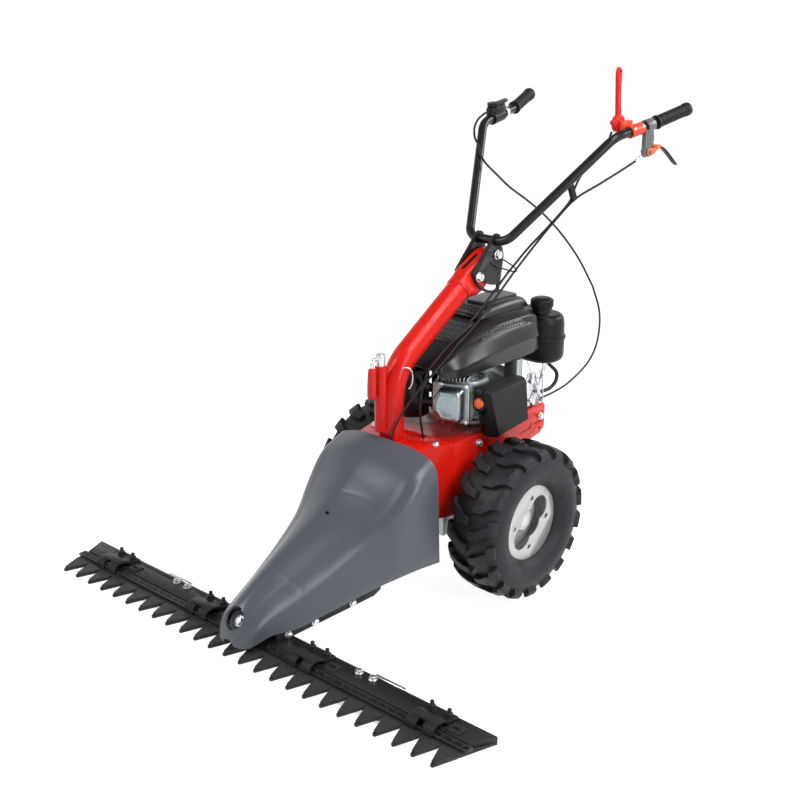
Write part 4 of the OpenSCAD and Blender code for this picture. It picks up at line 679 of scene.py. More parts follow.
def make_cowl():
    rows = spline(COWL_ROWS, 16)
    vertices = []
    for row in rows:
        half = grooved(cowl_half(row), row[0])
        for x, z in [(-x, z) for x, z in reversed(half[1:])] + half:
            y = row[0]
            if y > REAR_START:
                back = REAR_CUT * max(0.0, 1 - (x / 95) ** 2) ** 2
                y = REAR_START + (y - REAR_START) * (1 - back / (REAR_EDGE - REAR_START))
            vertices.append(mm(x, y, COMB_Z + z))
    faces = [face[::-1] for face in quads(len(rows), len(vertices) // len(rows), ring=False)]
    shell = piece("cowl_shell", vertices, faces, "grey_plastic")
    wall = shell.modifiers.new("wall", "SOLIDIFY")
    wall.thickness, wall.offset, wall.use_rim = 0.0042, -1, True
    applied(shell)
    cutter = Shape().lathe([(0, -4), (CUP_R, -4), (CUP_R, 0), (CUP_R + 3.5, 8), (30, 34),
                            (30, 60), (0, 60)], towards(NOSE_AXIS, NOSE_BOLT), 48)
    cut_out(shell, cutter.make("cup_cutter", "grey_plastic", None))
    mesh = shell.data
    bpy.data.objects.remove(shell)
    finish_piece("cowl_moulding", mesh, "grey_plastic", "frame", smooth_angle=42, replaces=["cowl"])
    cup = Shape().lathe([(CUP_R + 5, 6.6), (CUP_R + 2.6, 6.8), (CUP_R - 0.4, 1), (CUP_R - 2, 0),
                         (5, 0), (5, -4), (CUP_R + 4, -4), (CUP_R + 5, 6.6)],
                        towards(NOSE_AXIS, NOSE_BOLT), 48)
    cup.make("cowl_nose_cup", "grey_plastic")
    bolt = Shape().hex_bolt(NOSE_BOLT + NOSE_AXIS * 0.0002, NOSE_AXIS, 10)
    bolt.make("nose_bolt_head", "zinc")
    # A small disc fills a hole in the cowl, painted near-black as the shade inside the hole
    hole = towards((0.06, -0.6, 0.8), mm(8, -327, 248.6))
    Shape().lathe([(3.6, -3), (3.6, 0.3), (3, 0.6), (0, 0.6)], hole, 24).make(
        "cowl_plug", "black_plastic", "frame", "painted_hole_shade")


make_cowl()

# Handlebar

CROSS = mm(0, 172.519, 724.917)
ARM_LOW, ARM_HIGH = mm(50, 172.519, 724.917), mm(179, 371, 938.917)
GRIP_START, GRIP_END = mm(194, 502, 958.917), mm(218, 595.45, 983.917)
BAR_R, GRIP_L, GRIP_RIBS = 10, 104, 21


def make_handlebar():
    half = arc_corner(CROSS, ARM_LOW, ARM_HIGH, 0.036, 14)
    half += arc_corner(ARM_LOW, ARM_HIGH, GRIP_START, 0.060, 12)
    half += arc_corner(ARM_HIGH, GRIP_START, GRIP_END, 0.150, 5) + [GRIP_END]
    path = [mirrored(p) for p in reversed(half)] + half
    piece("handlebar_bent_tube", *tube_mesh(path, BAR_R * 0.001, 32), "black_paint", "handlebar",
          replaces=["handlebar_tube"])
    profile = [(BAR_R + 0.5, 6 - GRIP_L), (14.8, 6 - GRIP_L), (15.6, 7.2 - GRIP_L), (15.6, 10.6 - GRIP_L),
               (14.8, 12 - GRIP_L), (13, 12.8 - GRIP_L)]
    for rib in range(GRIP_RIBS):
        h = 15 - GRIP_L + 3.6 * rib
        profile += [(12.8, h), (13.7, h + 0.6), (13.7, h + 2.2), (12.8, h + 2.8)]
    profile += [(13, -14.5), (14.6, -13), (15, -11), (15, -3), (14, 0), (11, 1.6), (0, 2)]
    axis, grips = (GRIP_END - GRIP_START).normalized(), Shape()
    grips.lathe(profile, towards(axis, GRIP_END), 40)
    grips.lathe(profile, towards(mirrored(axis), mirrored(GRIP_END)), 40)
    grips.make("ribbed_grips", "black_rubber", "handlebar", replaces=["handlebar_grips"])


make_handlebar()

# Outlines and cages


def offset_outline(points, inset):
    """A convex outline, counter-clockwise, moved in by a distance."""
    out, n = [], len(points)
    for i in range(n):
        a, b, c = (Vector(points[(i + k) % n]) for k in (-1, 0, 1))
        u, v = (b - a).normalized(), (c - b).normalized()
        nu, nv = Vector((-u.y, u.x)), Vector((-v.y, v.x))
        out.append(b + (nu + nv) * (inset / (1 + nu.dot(nv))))
    return out


def round_outline(points, radius, steps=5):
    """A convex outline with its corners rounded."""
    out, n = [], len(points)
    for i in range(n):
        a, b, c = (Vector((*points[(i + k) % n], 0)) for k in (-1, 0, 1))
        out += [p.xy for p in arc_corner(a, b, c, radius, steps)]
    return out


def rectangle(x0, y0, x1, y1):
    return [(x0, y0), (x1, y0), (x1, y1), (x0, y1)]


def both_sides(half):
    """A row over the whole width, from its half that starts in the middle."""
    return [mirrored(p) for p in reversed(half[1:])] + half


def stadium(x0, x1, y, r, sides=24):
    """The outline round two circles of one radius."""
    out = []
    for x, start in ((x1, -0.5), (x0, 0.5)):
        for k in range(sides + 1):
            a = math.pi * (k / sides + start)
            out.append(Vector((x + r * math.cos(a), y + r * math.sin(a))))
    return out


def cage(name, rows, creases, node, caps=False, ring=False, wall=0.0):
    """A subdivided skin over rows of points, in gloss black; creases gives the sharpness of a column."""
    part = bmesh.new()
    layer = part.edges.layers.float.new("crease_edge")
    grid = [[part.verts.new(v) for v in row] for row in rows]
    n = len(rows[0])
    for a, b in zip(grid, grid[1:]):
        for k in range(n if ring else n - 1):
            j = (k + 1) % n
            part.faces.new((a[k], a[j], b[j], b[k]))
    if caps:
        part.faces.new(list(reversed(grid[0])))
        part.faces.new(grid[-1])
    for column, sharp in creases.items():
        for a, b in zip(grid, grid[1:]):
            part.edges.get((a[column], b[column]))[layer] = sharp
    bmesh.ops.recalc_face_normals(part, faces=part.faces)
    mesh = bpy.data.meshes.new(name)
    part.to_mesh(mesh)
    part.free()
    obj = finish_piece(name, mesh, "black_plastic", None, "gloss_black")
    if wall:
        shell = obj.modifiers.new("wall", "SOLIDIFY")
        shell.thickness, shell.offset = wall, -1
    skin = obj.modifiers.new("round", "SUBSURF")
    skin.levels = skin.render_levels = 3
    mesh = applied(obj).data
    bpy.data.objects.remove(obj)
    return finish_piece(name, mesh, "black_plastic", "frame", "gloss_black", 40, [node])


def patch(name, rows, over, lift=0.0006, body="frame", material="vent_mesh"):
    """A thin panel laid on another piece's skin."""
    vertices = [v for row in rows for v in row]
    obj = piece(name, vertices, quads(len(rows), len(rows[0]), ring=False), "black_plastic", None, material)
    wrap = obj.modifiers.new("lay", "SHRINKWRAP")
    wrap.target, wrap.offset = over, lift
    wrap.wrap_method, wrap.wrap_mode = "NEAREST_SURFACEPOINT", "ABOVE_SURFACE"
    applied(obj)
    rim = obj.modifiers.new("rim", "SOLIDIFY")
    rim.thickness, rim.offset = lift + 0.0008, 0
    applied(obj)
    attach(obj, body)
    return obj


def between(first, second, t):
    return [lerp(a, b, t) for a, b in zip(first, second)]


# Engine

DECK_Z = 344.5
ON_CYLINDER = Matrix.Translation(mm(0, 140, DECK_Z + 72)) @ Matrix.Rotation(math.radians(22.5), 4, "Z")
HEAD = ON_CYLINDER @ Matrix.Translation(mm(0, -170, 0)) @ Matrix.Rotation(math.radians(90), 4, "X")
# Looks along +X with Y to the right and Z up
SIDE_VIEW = Matrix(((0, 0, 1, 0), (1, 0, 0, 0), (0, 1, 0, 0), (0, 0, 0, 1)))

# Half sections of the hood at places along Y: crown, crown's edge, shoulder strip in and out, side, foot
HOOD = [
    (-54, (0, 490), (38, 490), (48, 489), (56, 487), (64, 482), (68, 473)),
    (-47, (0, 498), (43, 498), (53, 496), (62, 493), (71, 486), (75, 473)),
    (-10, (0, 517), (46, 517), (57, 514), (67, 510), (77, 498), (80, 473)),
    (40, (0, 540), (47, 540), (58, 537), (69, 531), (80, 511), (83, 473)),
    (104, (0, 567), (49, 567), (61, 562), (74, 555), (82, 526), (85, 473)),
    (120, (0, 571), (51, 571), (63, 566), (76, 559), (83, 530), (85, 473)),
    (200, (0, 571), (56, 571), (67, 567), (79, 561), (84, 534), (86, 473)),
    (246, (0, 570), (56, 570), (67, 566), (79, 559), (84, 532), (86, 473)),
    (263, (0, 562), (53, 562), (63, 558), (74, 551), (80, 526), (83, 473)),
    (268, (0, 550), (48, 550), (57, 546), (66, 540), (73, 518), (77, 473))]
# Sections of a wing: inner top, crest, shoulder, panel's lower edge, skirt under it, foot, inner foot
WING = [
    (-53, (58, 494), (63, 497), (65.5, 495), (69, 488), (68.5, 486), (67, 478), (60, 478)),
    (-36, (58, 505), (68, 511), (74, 509), (89, 495), (86, 492.5), (83, 475), (62, 476)),
    (-8, (57, 516), (71, 523), (78, 519.5), (96, 499), (92, 496), (88.5, 474), (62, 474)),
    (40, (57, 530), (73, 536), (80, 531), (97.5, 502), (93, 499), (90, 473.5), (62, 474)),
    (100, (60, 544), (77, 546), (84, 540), (97.5, 506), (93, 503), (90.5, 473.5), (64, 474)),
    (160, (64, 555), (80, 552), (87, 545), (97.5, 510), (93, 507), (90.5, 473.5), (66, 474)),
    (226, (64, 554), (79, 549), (86, 543), (96.5, 512), (92, 509), (90, 474), (66, 474)),
    (254, (62, 548), (76, 544), (82, 537), (90, 512), (86.5, 509), (85, 476), (62, 477)),
    (264, (60, 540), (70, 536), (75, 530), (80, 512), (78, 509), (77, 478), (60, 479))]


def make_shroud():
    rows = [both_sides([mm(x, y, z) for x, z in half]) for y, *half in HOOD]
    hood = cage("shroud_hood", rows, {k: 0.75 for k in (1, 2, 3, 7, 8, 9)}, "engine_shroud", wall=0.003)
    for side, label in ((1, "left"), (-1, "right")):
        rows = [[mm(side * x, y, z) for x, z in points] for y, *points in WING]
        wing = cage("shroud_wing_" + label, rows, {1: 0.7, 3: 0.8, 4: 0.8, 5: 0.9}, "engine_shroud",
                    caps=True, ring=True)
        # Perforated bands: in the wing's top and along the hood's shoulder
        tops, band = [], []
        for y in range(64, 222, 8):
            a, b, c = along_rows(WING, y)[:3]
            across = [between(a, b, t) for t in (0.25, 0.5, 0.75, 1.0)]
            across += [between(b, c, t) for t in (0.25, 0.5, 0.75)]
            tops.append([mm(side * x, y, z) for x, z in across])
        patch("vent_wing_" + label, tops, wing)
        for y in range(44, 206, 10):
            a, b = along_rows(HOOD, y)[3:5]
            across = [between(a, b, t) for t in (0.06, 0.2, 0.34, 0.5)]
            band.append([mm(side * x, y, z) for x, z in across])
        patch("vent_shoulder_" + label, band, hood)
    slope = ((20, 532), (34, 538), (48, 544), (62, 550), (78, 556), (92, 562))
    patch("vent_front", [[mm(x, y, z) for x in range(-36, 37, 8)] for y, z in slope], hood)


def along_rows(table, y):
    """The points of a table of sections at a place along Y."""
    for low, high in zip(table, table[1:]):
        if y <= high[0]:
            t = (y - low[0]) / (high[0] - low[0])
            return [between(a, b, t) for a, b in zip(low[1:], high[1:])]
    return list(table[-1][1:])


def make_starter_cover():
    rows = []
    for y, h, w in ((98, 570, 40), (104, 577, 44), (116, 587, 47), (134, 593, 49), (200, 595, 51),
                    (248, 593, 50), (264, 586, 46), (270, 570, 40)):
        half = [(0, h), (w - 18, h - 0.4), (w - 9, h - 2.5), (w - 1, h - 9 if h > 580 else 570),
                (w + 2, 569)]
        rows.append(both_sides([mm(x, y, z) for x, z in half]))
    top = cage("starter_hood", rows, {2: 0.5, 6: 0.5}, "starter_cover", wall=0.002)
    outline = round_outline([(-24, 132), (24, 132), (30, 250), (-30, 250)], 9)
    ridge = Shape().inset_stack(outline, [(592.5, 0), (595.2, 0), (596.2, 1.2), (596.2, 2)])
    ridge.make("starter_ridge", "black_plastic", "frame", "gloss_black")
    slope = ((102, 577), (108, 583), (114, 587), (120, 590), (127, 592))
    patch("vent_starter", [[mm(x, y, z) for x in range(-34, 35, 4)] for y, z in slope], top)


def make_tank():
    steps = ((431.5, 17), (431.5, 16), (433, 10), (437, 4.5), (443, 1.2), (450, 0.3), (483, 0), (484, -2),
             (485.5, -2.6), (489.5, -2.6), (491, -2), (492, 0.6), (520, 1.4), (531, 3.4), (537, 6.5),
             (540.4, 11), (541.5, 17), (541.5, 18))
    shape = Shape().stack([(z, stadium(-32, 50, 322, 48 - inset)) for z, inset in steps])
    shape.lathe([(18.5, 538), (18.5, 545), (17.2, 546.5), (17.2, 565.5), (0, 565.5)],
                Matrix.Translation(mm(60, 298, 0)), 32)
    shape.prism(rectangle(-24, 256, 34, 284), 477.5, 497.5, Matrix(), 2)
    shape.make("tank_moulding", "black_plastic", replaces=["fuel_tank"])
    vertices, sides = [], 108
    profile = [(19.0, 1, 0), (23, 0.0, 0), (23.2, 10.5, 0), (25.2, 12.2, 1), (26, 13.5, 1), (26, 26.5, 1),
               (25, 28.6, 1), (22.4, 30.2, 0.3), (20.5, 31.2, 0), (19.5, 31.0, 0), (17.5, 32.4, 0),
               (6, 33, 0), (0.01, 33, 0)]
    for r, h, cut in profile:
        for a in circle(sides):
            out = r - cut * 0.9 * max(0.0, math.cos(27 * a))
            vertices.append(mm(60 + out * math.cos(a), 298 + out * math.sin(a), 550.5 + h))
    cap = Shape().add(vertices, quads(len(profile), sides))
    cap.make("ribbed_fuel_cap", "black_plastic", "cap", replaces=["fuel_cap"])


AIR_OUTLINE = [(-4, DECK_Z + 112), (34, DECK_Z - 4), (148, DECK_Z + 8), (135, DECK_Z + 112)]


def make_air_cleaner():
    outline = round_outline(AIR_OUTLINE, 10)
    base = Shape().inset_stack(outline, ((110.5, 2), (111.5, 0.4), (113, 0), (133.6, 0), (134.6, 0.6),
                                         (135, 2.2), (136.2, 2.2)), SIDE_VIEW)
    place = towards((0, -0.9503, 0.3113), mm(123.25, 7.14, 422.5))
    case = base.make("air_cleaner_case", "black_plastic", replaces=["air_cleaner_base"])
    bore = Shape().lathe([(0, -18), (12.4, -18), (12.4, 12), (0, 12)], place, 40)
    cut_out(case, bore.make("primer_bore", "black_plastic", None))
    cover = Shape().inset_stack(outline, ((136.2, 2), (136.3, 0.5), (137, 0), (141.4, 0), (142.2, 0.4),
                                          (150.4, 7), (151.4, 7.7), (152, 8.3), (152, 8.7)), SIDE_VIEW)
    cover.make("air_cleaner_lid", "black_plastic", replaces=["air_cleaner_cover"])
    Shape().lathe([(17.2, -2), (17.2, 1.2), (16, 2.4), (14.2, 2.4), (12.8, 0.4), (12.6, -3)],
                  place, 48).make("primer_collar", "black_plastic")
    Shape().lathe([(0, -9), (11.8, -9), (12, 3), (11.3, 5.6), (9.2, 7.7), (5.8, 8.8), (0, 9.2)],
                  place, 40).make("primer_dome", "orange_plastic", "primer", replaces=["primer_bulb"])


# Foot of the valve cover in the head's plane, and its skin: height and share of the foot's size
COVER_FOOT = [(-17, -38), (33, -38), (33, 38), (-20, 38), (-33, 14), (-33, -14)]
COVER_SKIN = [(4.4, 1.0), (7, 0.995), (17, 0.955), (25, 0.90), (30, 0.84), (32.6, 0.78), (33.8, 0.72),
              (34.2, 0.66)]


def make_valve_cover():
    foot, middle = round_outline(COVER_FOOT, 9, 6), Vector((4, 0))

    def shrunk(share):
        return [middle + (v - middle) * share for v in foot]

    wide = round_outline(offset_outline(COVER_FOOT, -4), 10, 6)
    flange = Shape().inset_stack(wide, [(0, 0), (4, 0), (4.8, 0.8), (4.8, 2)], HEAD)
    flange.make("valve_cover_flange", "cast_alloy", replaces=["valve_cover"])
    cover = Shape().stack([(h, shrunk(share)) for h, share in COVER_SKIN], HEAD)
    # Raised border round the cover's face
    border = ((33.8, 0.60), (35.4, 0.60), (35.4, 0.52), (33.8, 0.52))
    points = [HEAD @ mm(*q, h) for h, share in border for q in shrunk(share)]
    cover.add(points, quads(len(border), len(foot)))
    cover.make("valve_cover_casting", "cast_alloy", "frame", "valve_alloy", 30, ["valve_cover"])
    bolts = Shape()
    for x, y in ((34.2, 39.2), (-20, 39.6), (34.2, -39.2), (-17, -39.6)):
        bolts.hex_bolt(HEAD @ mm(x, y, 4.8), HEAD.to_3x3() @ Z, 4.2)
    bolts.make("valve_cover_bolts", "zinc")


def make_head_details():
    """Cooling fins over the cylinder, the plug's cap and its lead."""
    fins = Shape()
    for k in range(9):
        x = -32 + 8 * k
        fins.prism(rectangle(x - 1.4, -160, x + 1.4, -70), 40.5, 53, ON_CYLINDER, 0.5, 1)
    fins.make("cylinder_top_fins", "cast_alloy")
    baffle = Shape().prism(rectangle(50, 356, 112, 476), -48, -44.5, SIDE_VIEW, 1)
    baffle.make("cylinder_baffle", "black_plastic")
    # Round cast edge of the intake side, under the hood
    eye = Shape().lathe([(26, 446), (27, 458), (28.5, 460.5), (33, 462.5), (39, 462.5), (42.5, 460),
                         (43.5, 455), (43.5, 440)], Matrix.Translation(mm(64, 40, 0)), 48)
    eye.make("intake_eye", "cast_alloy")
    Shape().lathe([(0, 449), (30, 449), (30, 442), (0, 442)], Matrix.Translation(mm(64, 40, 0)), 36).make(
        "intake_eye_floor", "cast_alloy", "frame", "valve_alloy")
    plug = Shape()
    start = ON_CYLINDER @ mm(-38, -158, 20)
    axis = (ON_CYLINDER.to_3x3() @ Vector((-0.80, -0.42, 0.42))).normalized()
    plug.lathe([(0, -4), (7.8, -4), (8.6, 2), (8.6, 13), (9.8, 15), (9.8, 30), (8.2, 34),
                (0, 35)], towards(axis, start), 28)
    tip = start + axis * 0.026
    lead = [tip, tip + mm(-6, -6, 18), tip + mm(4, 12, 36)]
    lead += [ON_CYLINDER @ p for p in places((-30, -118, 52), (-26, -84, 62))]
    plug.tube(spline(lead, 6), 3.5)
    plug.make("plug_cap_and_lead", "black_rubber")


make_shroud()
make_starter_cover()
make_tank()
make_air_cleaner()
make_valve_cover()
make_head_details()

# Column

SLOPE = Matrix.Translation(mm(0, -130, 493.5)) @ Matrix.Rotation(math.radians(33.5), 4, "X")
COLUMN_TOP = mm(0, 88.5, 638.1)


def make_column():
    shape = Shape()
    foot = Matrix.Translation(mm(0, -130, 0))
    shape.lathe([(0, 416), (22.6, 414), (22.6, 354), (25.2, 354), (26, 354.8), (26, 424)], foot, 64)
    low, bend = places((0, -130, 354), (0, -130, 493.5))
    path = [mm(0, -130, 423)] + arc_corner(low, bend, COLUMN_TOP, 0.115, 20) + [COLUMN_TOP]
    shape.tube(path, 26.1, 64)
    boss = Matrix.Translation(mm(0, -162.5, 0))
    shape.lathe([(6.6, 381), (6.6, 516.6), (10.8, 516.6), (11.8, 515.8), (12.2, 514), (12.2, 379),
                 (11.6, 376.8), (10, 376), (0, 376)], boss, 40)
    shape.make("column_bent_tube", "red_paint", "column", replaces=["column_tube"])
    grip = Shape().lathe([(0, 0), (5, 0), (7.6, 1), (9, 3.4), (9.5, 8), (9.4, 26),
                          (8.4, 50), (7.4, 60.5), (6.2, 64.8), (0, 66)],
                         Matrix.Translation(mm(0, -188.5, 451.4)), 36)
    grip.make("clamp_handle", "red_plastic", "clamp", replaces=["clamp_grip"])
    hook = places((20, -120, 506), (29, -114, 508), (32, -104, 499), (31, -99, 482), (29, -101, 466),
                  (27, -107, 460))
    hook = Shape().tube(spline(hook, 6), 1.5, 10)
    hook.make("column_wire_hook", "zinc", "column")
    guide = places((24, 146, 684), (31, 176, 668), (38, 218, 652), (40, 226, 655), (37, 208, 670),
                   (24, 176, 692))
    guide = Shape().tube(spline(guide, 6), 1.8, 10)
    guide.make("cable_guide_wire", "black_paint", "handlebar")


make_column()

# Controls

BAR_DIR = (GRIP_START - ARM_HIGH).normalized()
LEVER_PIVOT, CLUTCH_PIVOT = mm(166, 412, 962.917), mm(196, 470, 899.917)
# Sits in a side view: Y to the right, Z up, looking along +X
LEVER_OUTLINE = [(9, 8), (5.5, 22), (2.2, 40), (0.2, 62), (-0.6, 82), (0.6, 100), (-0.6, 111), (-4.5, 117),
                 (-9.5, 118.5), (-14.5, 115.5), (-16.8, 107), (-15.6, 88), (-13.2, 62), (-11.6, 40),
                 (-10, 22), (-9, 8)]
CLUTCH_ARM = [(-8, 2), (-6.5, 6.8), (-2, 8.6), (8, 7.4), (18, 6.4), (28, 9.4), (36, 13), (43, 12.8),
              (48, 10), (46, 6.2), (38, 5), (30, 0.6), (20, -5), (8, -8.4), (-2, -8.2), (-6.5, -5)]
CLUTCH_BLADE = [(38, 11.4), (50, 9.4), (64, 4.5), (82, -6), (100, -19.5), (116, -32), (127, -40.4),
                (127.6, -42), (125.6, -42.8), (114, -36.6), (98, -24.4), (80, -11), (62, 0), (49, 4.6),
                (38, 6.6)]


def at_side(origin):
    return Matrix.Translation(origin) @ SIDE_VIEW


def make_levers():
    lever = Shape().prism(LEVER_OUTLINE, -11.8, -3.2, at_side(LEVER_PIVOT), 2.6, 3)
    lever.lathe([(5.3, -1.4), (15, -1.4), (16, -2.2), (18.2, -2.2), (19, -3.4), (19, -12.2),
                 (18, -13.6), (16, -14), (5.3, -14), (5.3, -1.4)], towards(X, LEVER_PIVOT), 56)
    lever.make("drive_lever_arm", "red_plastic", "drive_lever", replaces=["drive_lever"])
    # A plug in the lever's eye, painted near-black as the shade inside the hole
    place = towards(X, LEVER_PIVOT + mm(0, -8.4, 110))
    eye = Shape().lathe([(2.6, -12.2), (2.6, -2.8), (0, -2.8)], place, 20)
    eye.make("drive_lever_eye", "black_plastic", "drive_lever", "painted_hole_shade")
    arm = Shape()
    for low, high in ((-9.2, -5.7), (5.7, 9.2)):
        arm.prism(CLUTCH_ARM, low, high, at_side(CLUTCH_PIVOT), 1.3, 3)
    web = [(26, 9), (36, 12.6), (43, 12), (47, 8.6), (45, 5), (38, 5.4), (30, 1), (26, -1)]
    arm.prism(web, -8.8, 8.8, at_side(CLUTCH_PIVOT), 1.3)
    arm.make("clutch_arm", "orange_plastic", "clutch_lever", replaces=["clutch_lever"])
    blade = Shape().prism(CLUTCH_BLADE, -5.2, 5.2, at_side(CLUTCH_PIVOT), 1.6, 3)
    blade.make("clutch_blade", "black_plastic", "clutch_lever", replaces=["clutch_lever"])
    bits = Shape()
    start, heading = CLUTCH_ROUTE[0], (CLUTCH_ROUTE[1] - CLUTCH_ROUTE[0]).normalized()
    bits.lathe([(2.6, -4), (4.4, -4), (4.4, 4), (3.2, 5), (3.2, 14), (2.6, 15)],
               towards(heading, start), 20)
    facing = Vector((0.637, -0.697, 0.328))
    facing = (facing - BAR_DIR * facing.dot(BAR_DIR)).normalized()
    for along in (0.053, 0.080):
        place = towards(facing, ARM_HIGH + BAR_DIR * along + facing * 0.0132)
        bits.lathe([(0, 0), (3.6, 0), (3.6, 1.2), (2.6, 2.4), (0, 2.6)], place, 20)
    right_end, right_dir = mirrored(ARM_HIGH), mirrored(BAR_DIR)
    band = towards(right_dir, right_end + right_dir * 0.094)
    bits.lathe([(10.2, -6), (12.4, -6), (13, -5), (13, 5), (12.4, 6), (10.2, 6)], band, 40)
    bits.make("control_fittings", "zinc", "handlebar")
    up = Vector((0.01706, -0.148992, 0.988691))
    middle = right_end + right_dir * 0.056
    place = Matrix.Translation(middle) @ Matrix((right_dir, up.cross(right_dir), up)).transposed().to_4x4()
    oval = [Vector((squared(math.cos(a), 32, 0.75), squared(math.sin(a), 14, 0.75))) for a in circle(48)]
    steps = ((4, 0.80), (9, 0.96), (12, 1.0), (19, 1.0), (19.8, 0.975), (20.6, 0.975), (21.4, 0.99),
             (23.6, 0.965), (25.2, 0.90), (25.9, 0.80), (26, 0.70))
    housing = Shape().stack([(h, [q * scale for q in oval]) for h, scale in steps], place)
    housing.lathe([(10.2, -23), (14, -23), (15, -21.8), (15, 21.8), (14, 23), (10.2, 23), (10.2, -23)],
                  towards(right_dir, middle), 40)
    housing.make("throttle_housing", "black_plastic", "handlebar", replaces=["throttle_body"])
    on_arm, on_cable = lerp(ARM_LOW, ARM_HIGH, 0.585), mm(126, 306, 812)
    reach = (on_cable - on_arm).length * 1000
    steps = ((4, 0), (reach + 4, 0), (reach + 6, 1.6), (reach + 6, 2.2))
    clip = Shape().inset_stack(round_outline(rectangle(-4.6, -7.5, 4.6, 7.5), 2), steps,
                               towards(on_cable - on_arm, on_arm))
    clip.make("cable_clip", "black_plastic", "handlebar")


make_levers()

# Cutter bar

BAR_TOP = 52
SMALL_BOLT = 7.8


def make_bar_details():
    bolts, tabs, slots = Shape(), Shape(), Shape()
    for x in (-452, -150, 150, 452):
        for dx in (-20, 20):
            at = mm(x + dx, -489, BAR_TOP + 5.3)
            bolts.hex_bolt(at, Z, SMALL_BOLT)
            bolts.lathe([(4, -12), (4, 13.8), (3.4, 14.6), (0, 14.6)], towards(Z, at), 20)
        tabs.prism(rectangle(x + 37, -521, x + 66, -494), 51.9, 54.6, Matrix(), 0.8)
        # Thin stadiums on the tabs, painted near-black as the shade inside their slots
        slots.prism(stadium(x + 47, x + 57, -507, 3.4, 8), 53, 54.8, Matrix())
    bolts.make("clip_bolt_studs", "dark_steel", replaces=["clip_bolts"])
    tabs.make("clip_adjuster_tabs", "dark_steel")
    slots.make("clip_adjuster_slots", "dark_steel", "frame", "painted_hole_shade")


make_bar_details()

# Column head

# Sections of the head up the slope: place, half width, bottom, top and squareness
HEAD_ROWS = [(246, 26.6, -26.6, 26.6, 2), (247, 27.8, -27.8, 27.8, 2), (252, 28.6, -28.6, 28.4, 2),
             (259, 27.6, -31, 28, 2.2), (268, 24, -37, 28.4, 2.8), (279, 20.6, -42, 28.6, 4.2),
             (300, 20.5, -43.4, 26.6, 6), (329, 20.5, -38, 23, 6.5), (349, 20.5, -26, 19.6, 6.5),
             (366, 20.5, -16, 13, 6), (374, 20.2, -10, 7.4, 4), (377, 19, -6, 3, 3), (377.6, 14, -4, 1, 2.4)]


def make_column_head():
    rows, sides, vertices = spline([Vector(row) for row in HEAD_ROWS], 4), 56, []
    for u, half, low, high, square in rows:
        half = min(half, 28.6 if u < 278 else 20.55)
        for a in circle(sides):
            x = squared(math.cos(a), half, 2 / square)
            v = (low + high) / 2 + squared(math.sin(a), (high - low) / 2, 2 / square)
            vertices.append(SLOPE @ mm(x, u, v))
    head = Shape().add(vertices, quads(len(rows), sides) + end_caps(len(rows), sides))
    head = head.make("column_fork_head", "red_paint", "column", replaces=["column_head"])
    rows = []
    for k in range(15):
        u = 282 + 4 * k
        half = 3.4 * math.sqrt(max(0.06, 1 - abs((u - 310) / 28) ** 8))
        v = along_table([(row[0], row[3]) for row in HEAD_ROWS], u)[0]
        rows.append([SLOPE @ mm(x * half, u, v + 0.5) for x in (-1, -0.5, 0, 0.5, 1)])
    # The head's slot is a thin sheet painted near-black as the shade inside it
    patch("head_slot", rows, head, 0.0004, "column", "painted_hole_shade")


make_column_head()

# Bolts and small fittings


def make_fittings():
    bolts = Shape()
    for side in (1, -1):
        out = X * side
        bolts.hex_bolt(mm(side * 86, -88, 347.5), Z, SMALL_BOLT)
        for y, z in ((23, 326.5), (240, 330.5)):
            bolts.hex_bolt(mm(side * 110, y, z), out, SMALL_BOLT)
        for y in (-312, -418, -490):
            bolts.hex_bolt(mm(side * 62, y, 61), out, SMALL_BOLT)
        for x in (250, 285):
            bolts.hex_bolt(mm(side * x, -486, 52), Z, 8)
    for a in (40, 140, 220, 320):
        turn = math.radians(a)
        bolts.hex_bolt(mm(95 * math.cos(turn), 140 + 95 * math.sin(turn), 354.5), Z, SMALL_BOLT)
    bolts.make("chassis_bolts", "zinc", replaces=["zinc_bolts"])
    # Thin strips and a disc on the side plate, painted near-black as the shade inside its slits and hole
    slits = Shape()
    for a, b in (((167, 307), (206, 311.6)), ((206, 311.6), (207.4, 322.6)), ((219, 317.4), (241, 318.4))):
        a, b = Vector(a), Vector(b)
        across = Vector((a.y - b.y, b.x - a.x)).normalized() * 0.8
        slits.prism([a + across, a - across, b - across, b + across], 109.2, 110.3, SIDE_VIEW)
    slits.lathe([(2.6, 109.2), (2.6, 110.3), (0, 110.3)], towards(X, mm(0, 239.6, 302.7)), 20)
    slits.make("side_plate_slits", "black_plastic", "frame", "painted_hole_shade")
    rods = Shape()
    for r, *path in ((1.7, (106, 247, 450), (106.5, 249, 400), (106, 252, 362)),
                     (1.4, (105, 190, 470), (106, 210, 431), (107, 234, 386)),
                     (1.2, (104, 206, 374), (107, 230, 404), (107, 262, 440))):
        rods.tube(spline(places(*path), 6), r, 10)
    coil, coil_r = [], 3.2
    for k in range(126):
        a = k * 0.7
        coil.append(mm(107 + coil_r * math.cos(a), 212 + 0.30 * k, 380 + 0.36 * k + coil_r * math.sin(a)))
    rods.tube(coil, 0.7, 6)
    for y, z in ((247, 430), (252, 362), (210, 431), (234, 386), (206, 374)):
        rods.lathe([(0, -8), (2.4, -8), (2.4, 1.2), (4.2, 1.2), (4.2, 4), (0, 4)],
                   towards(X, mm(105, y, z)), 16)
    plate = [(226, 428), (262, 446), (268, 439), (262, 430), (240, 416), (228, 418)]
    rods.prism(plate, 103, 104.8, SIDE_VIEW, 0.5)
    rods.make("governor_linkage", "zinc")


make_fittings()

# Rounded edges of the remaining solids

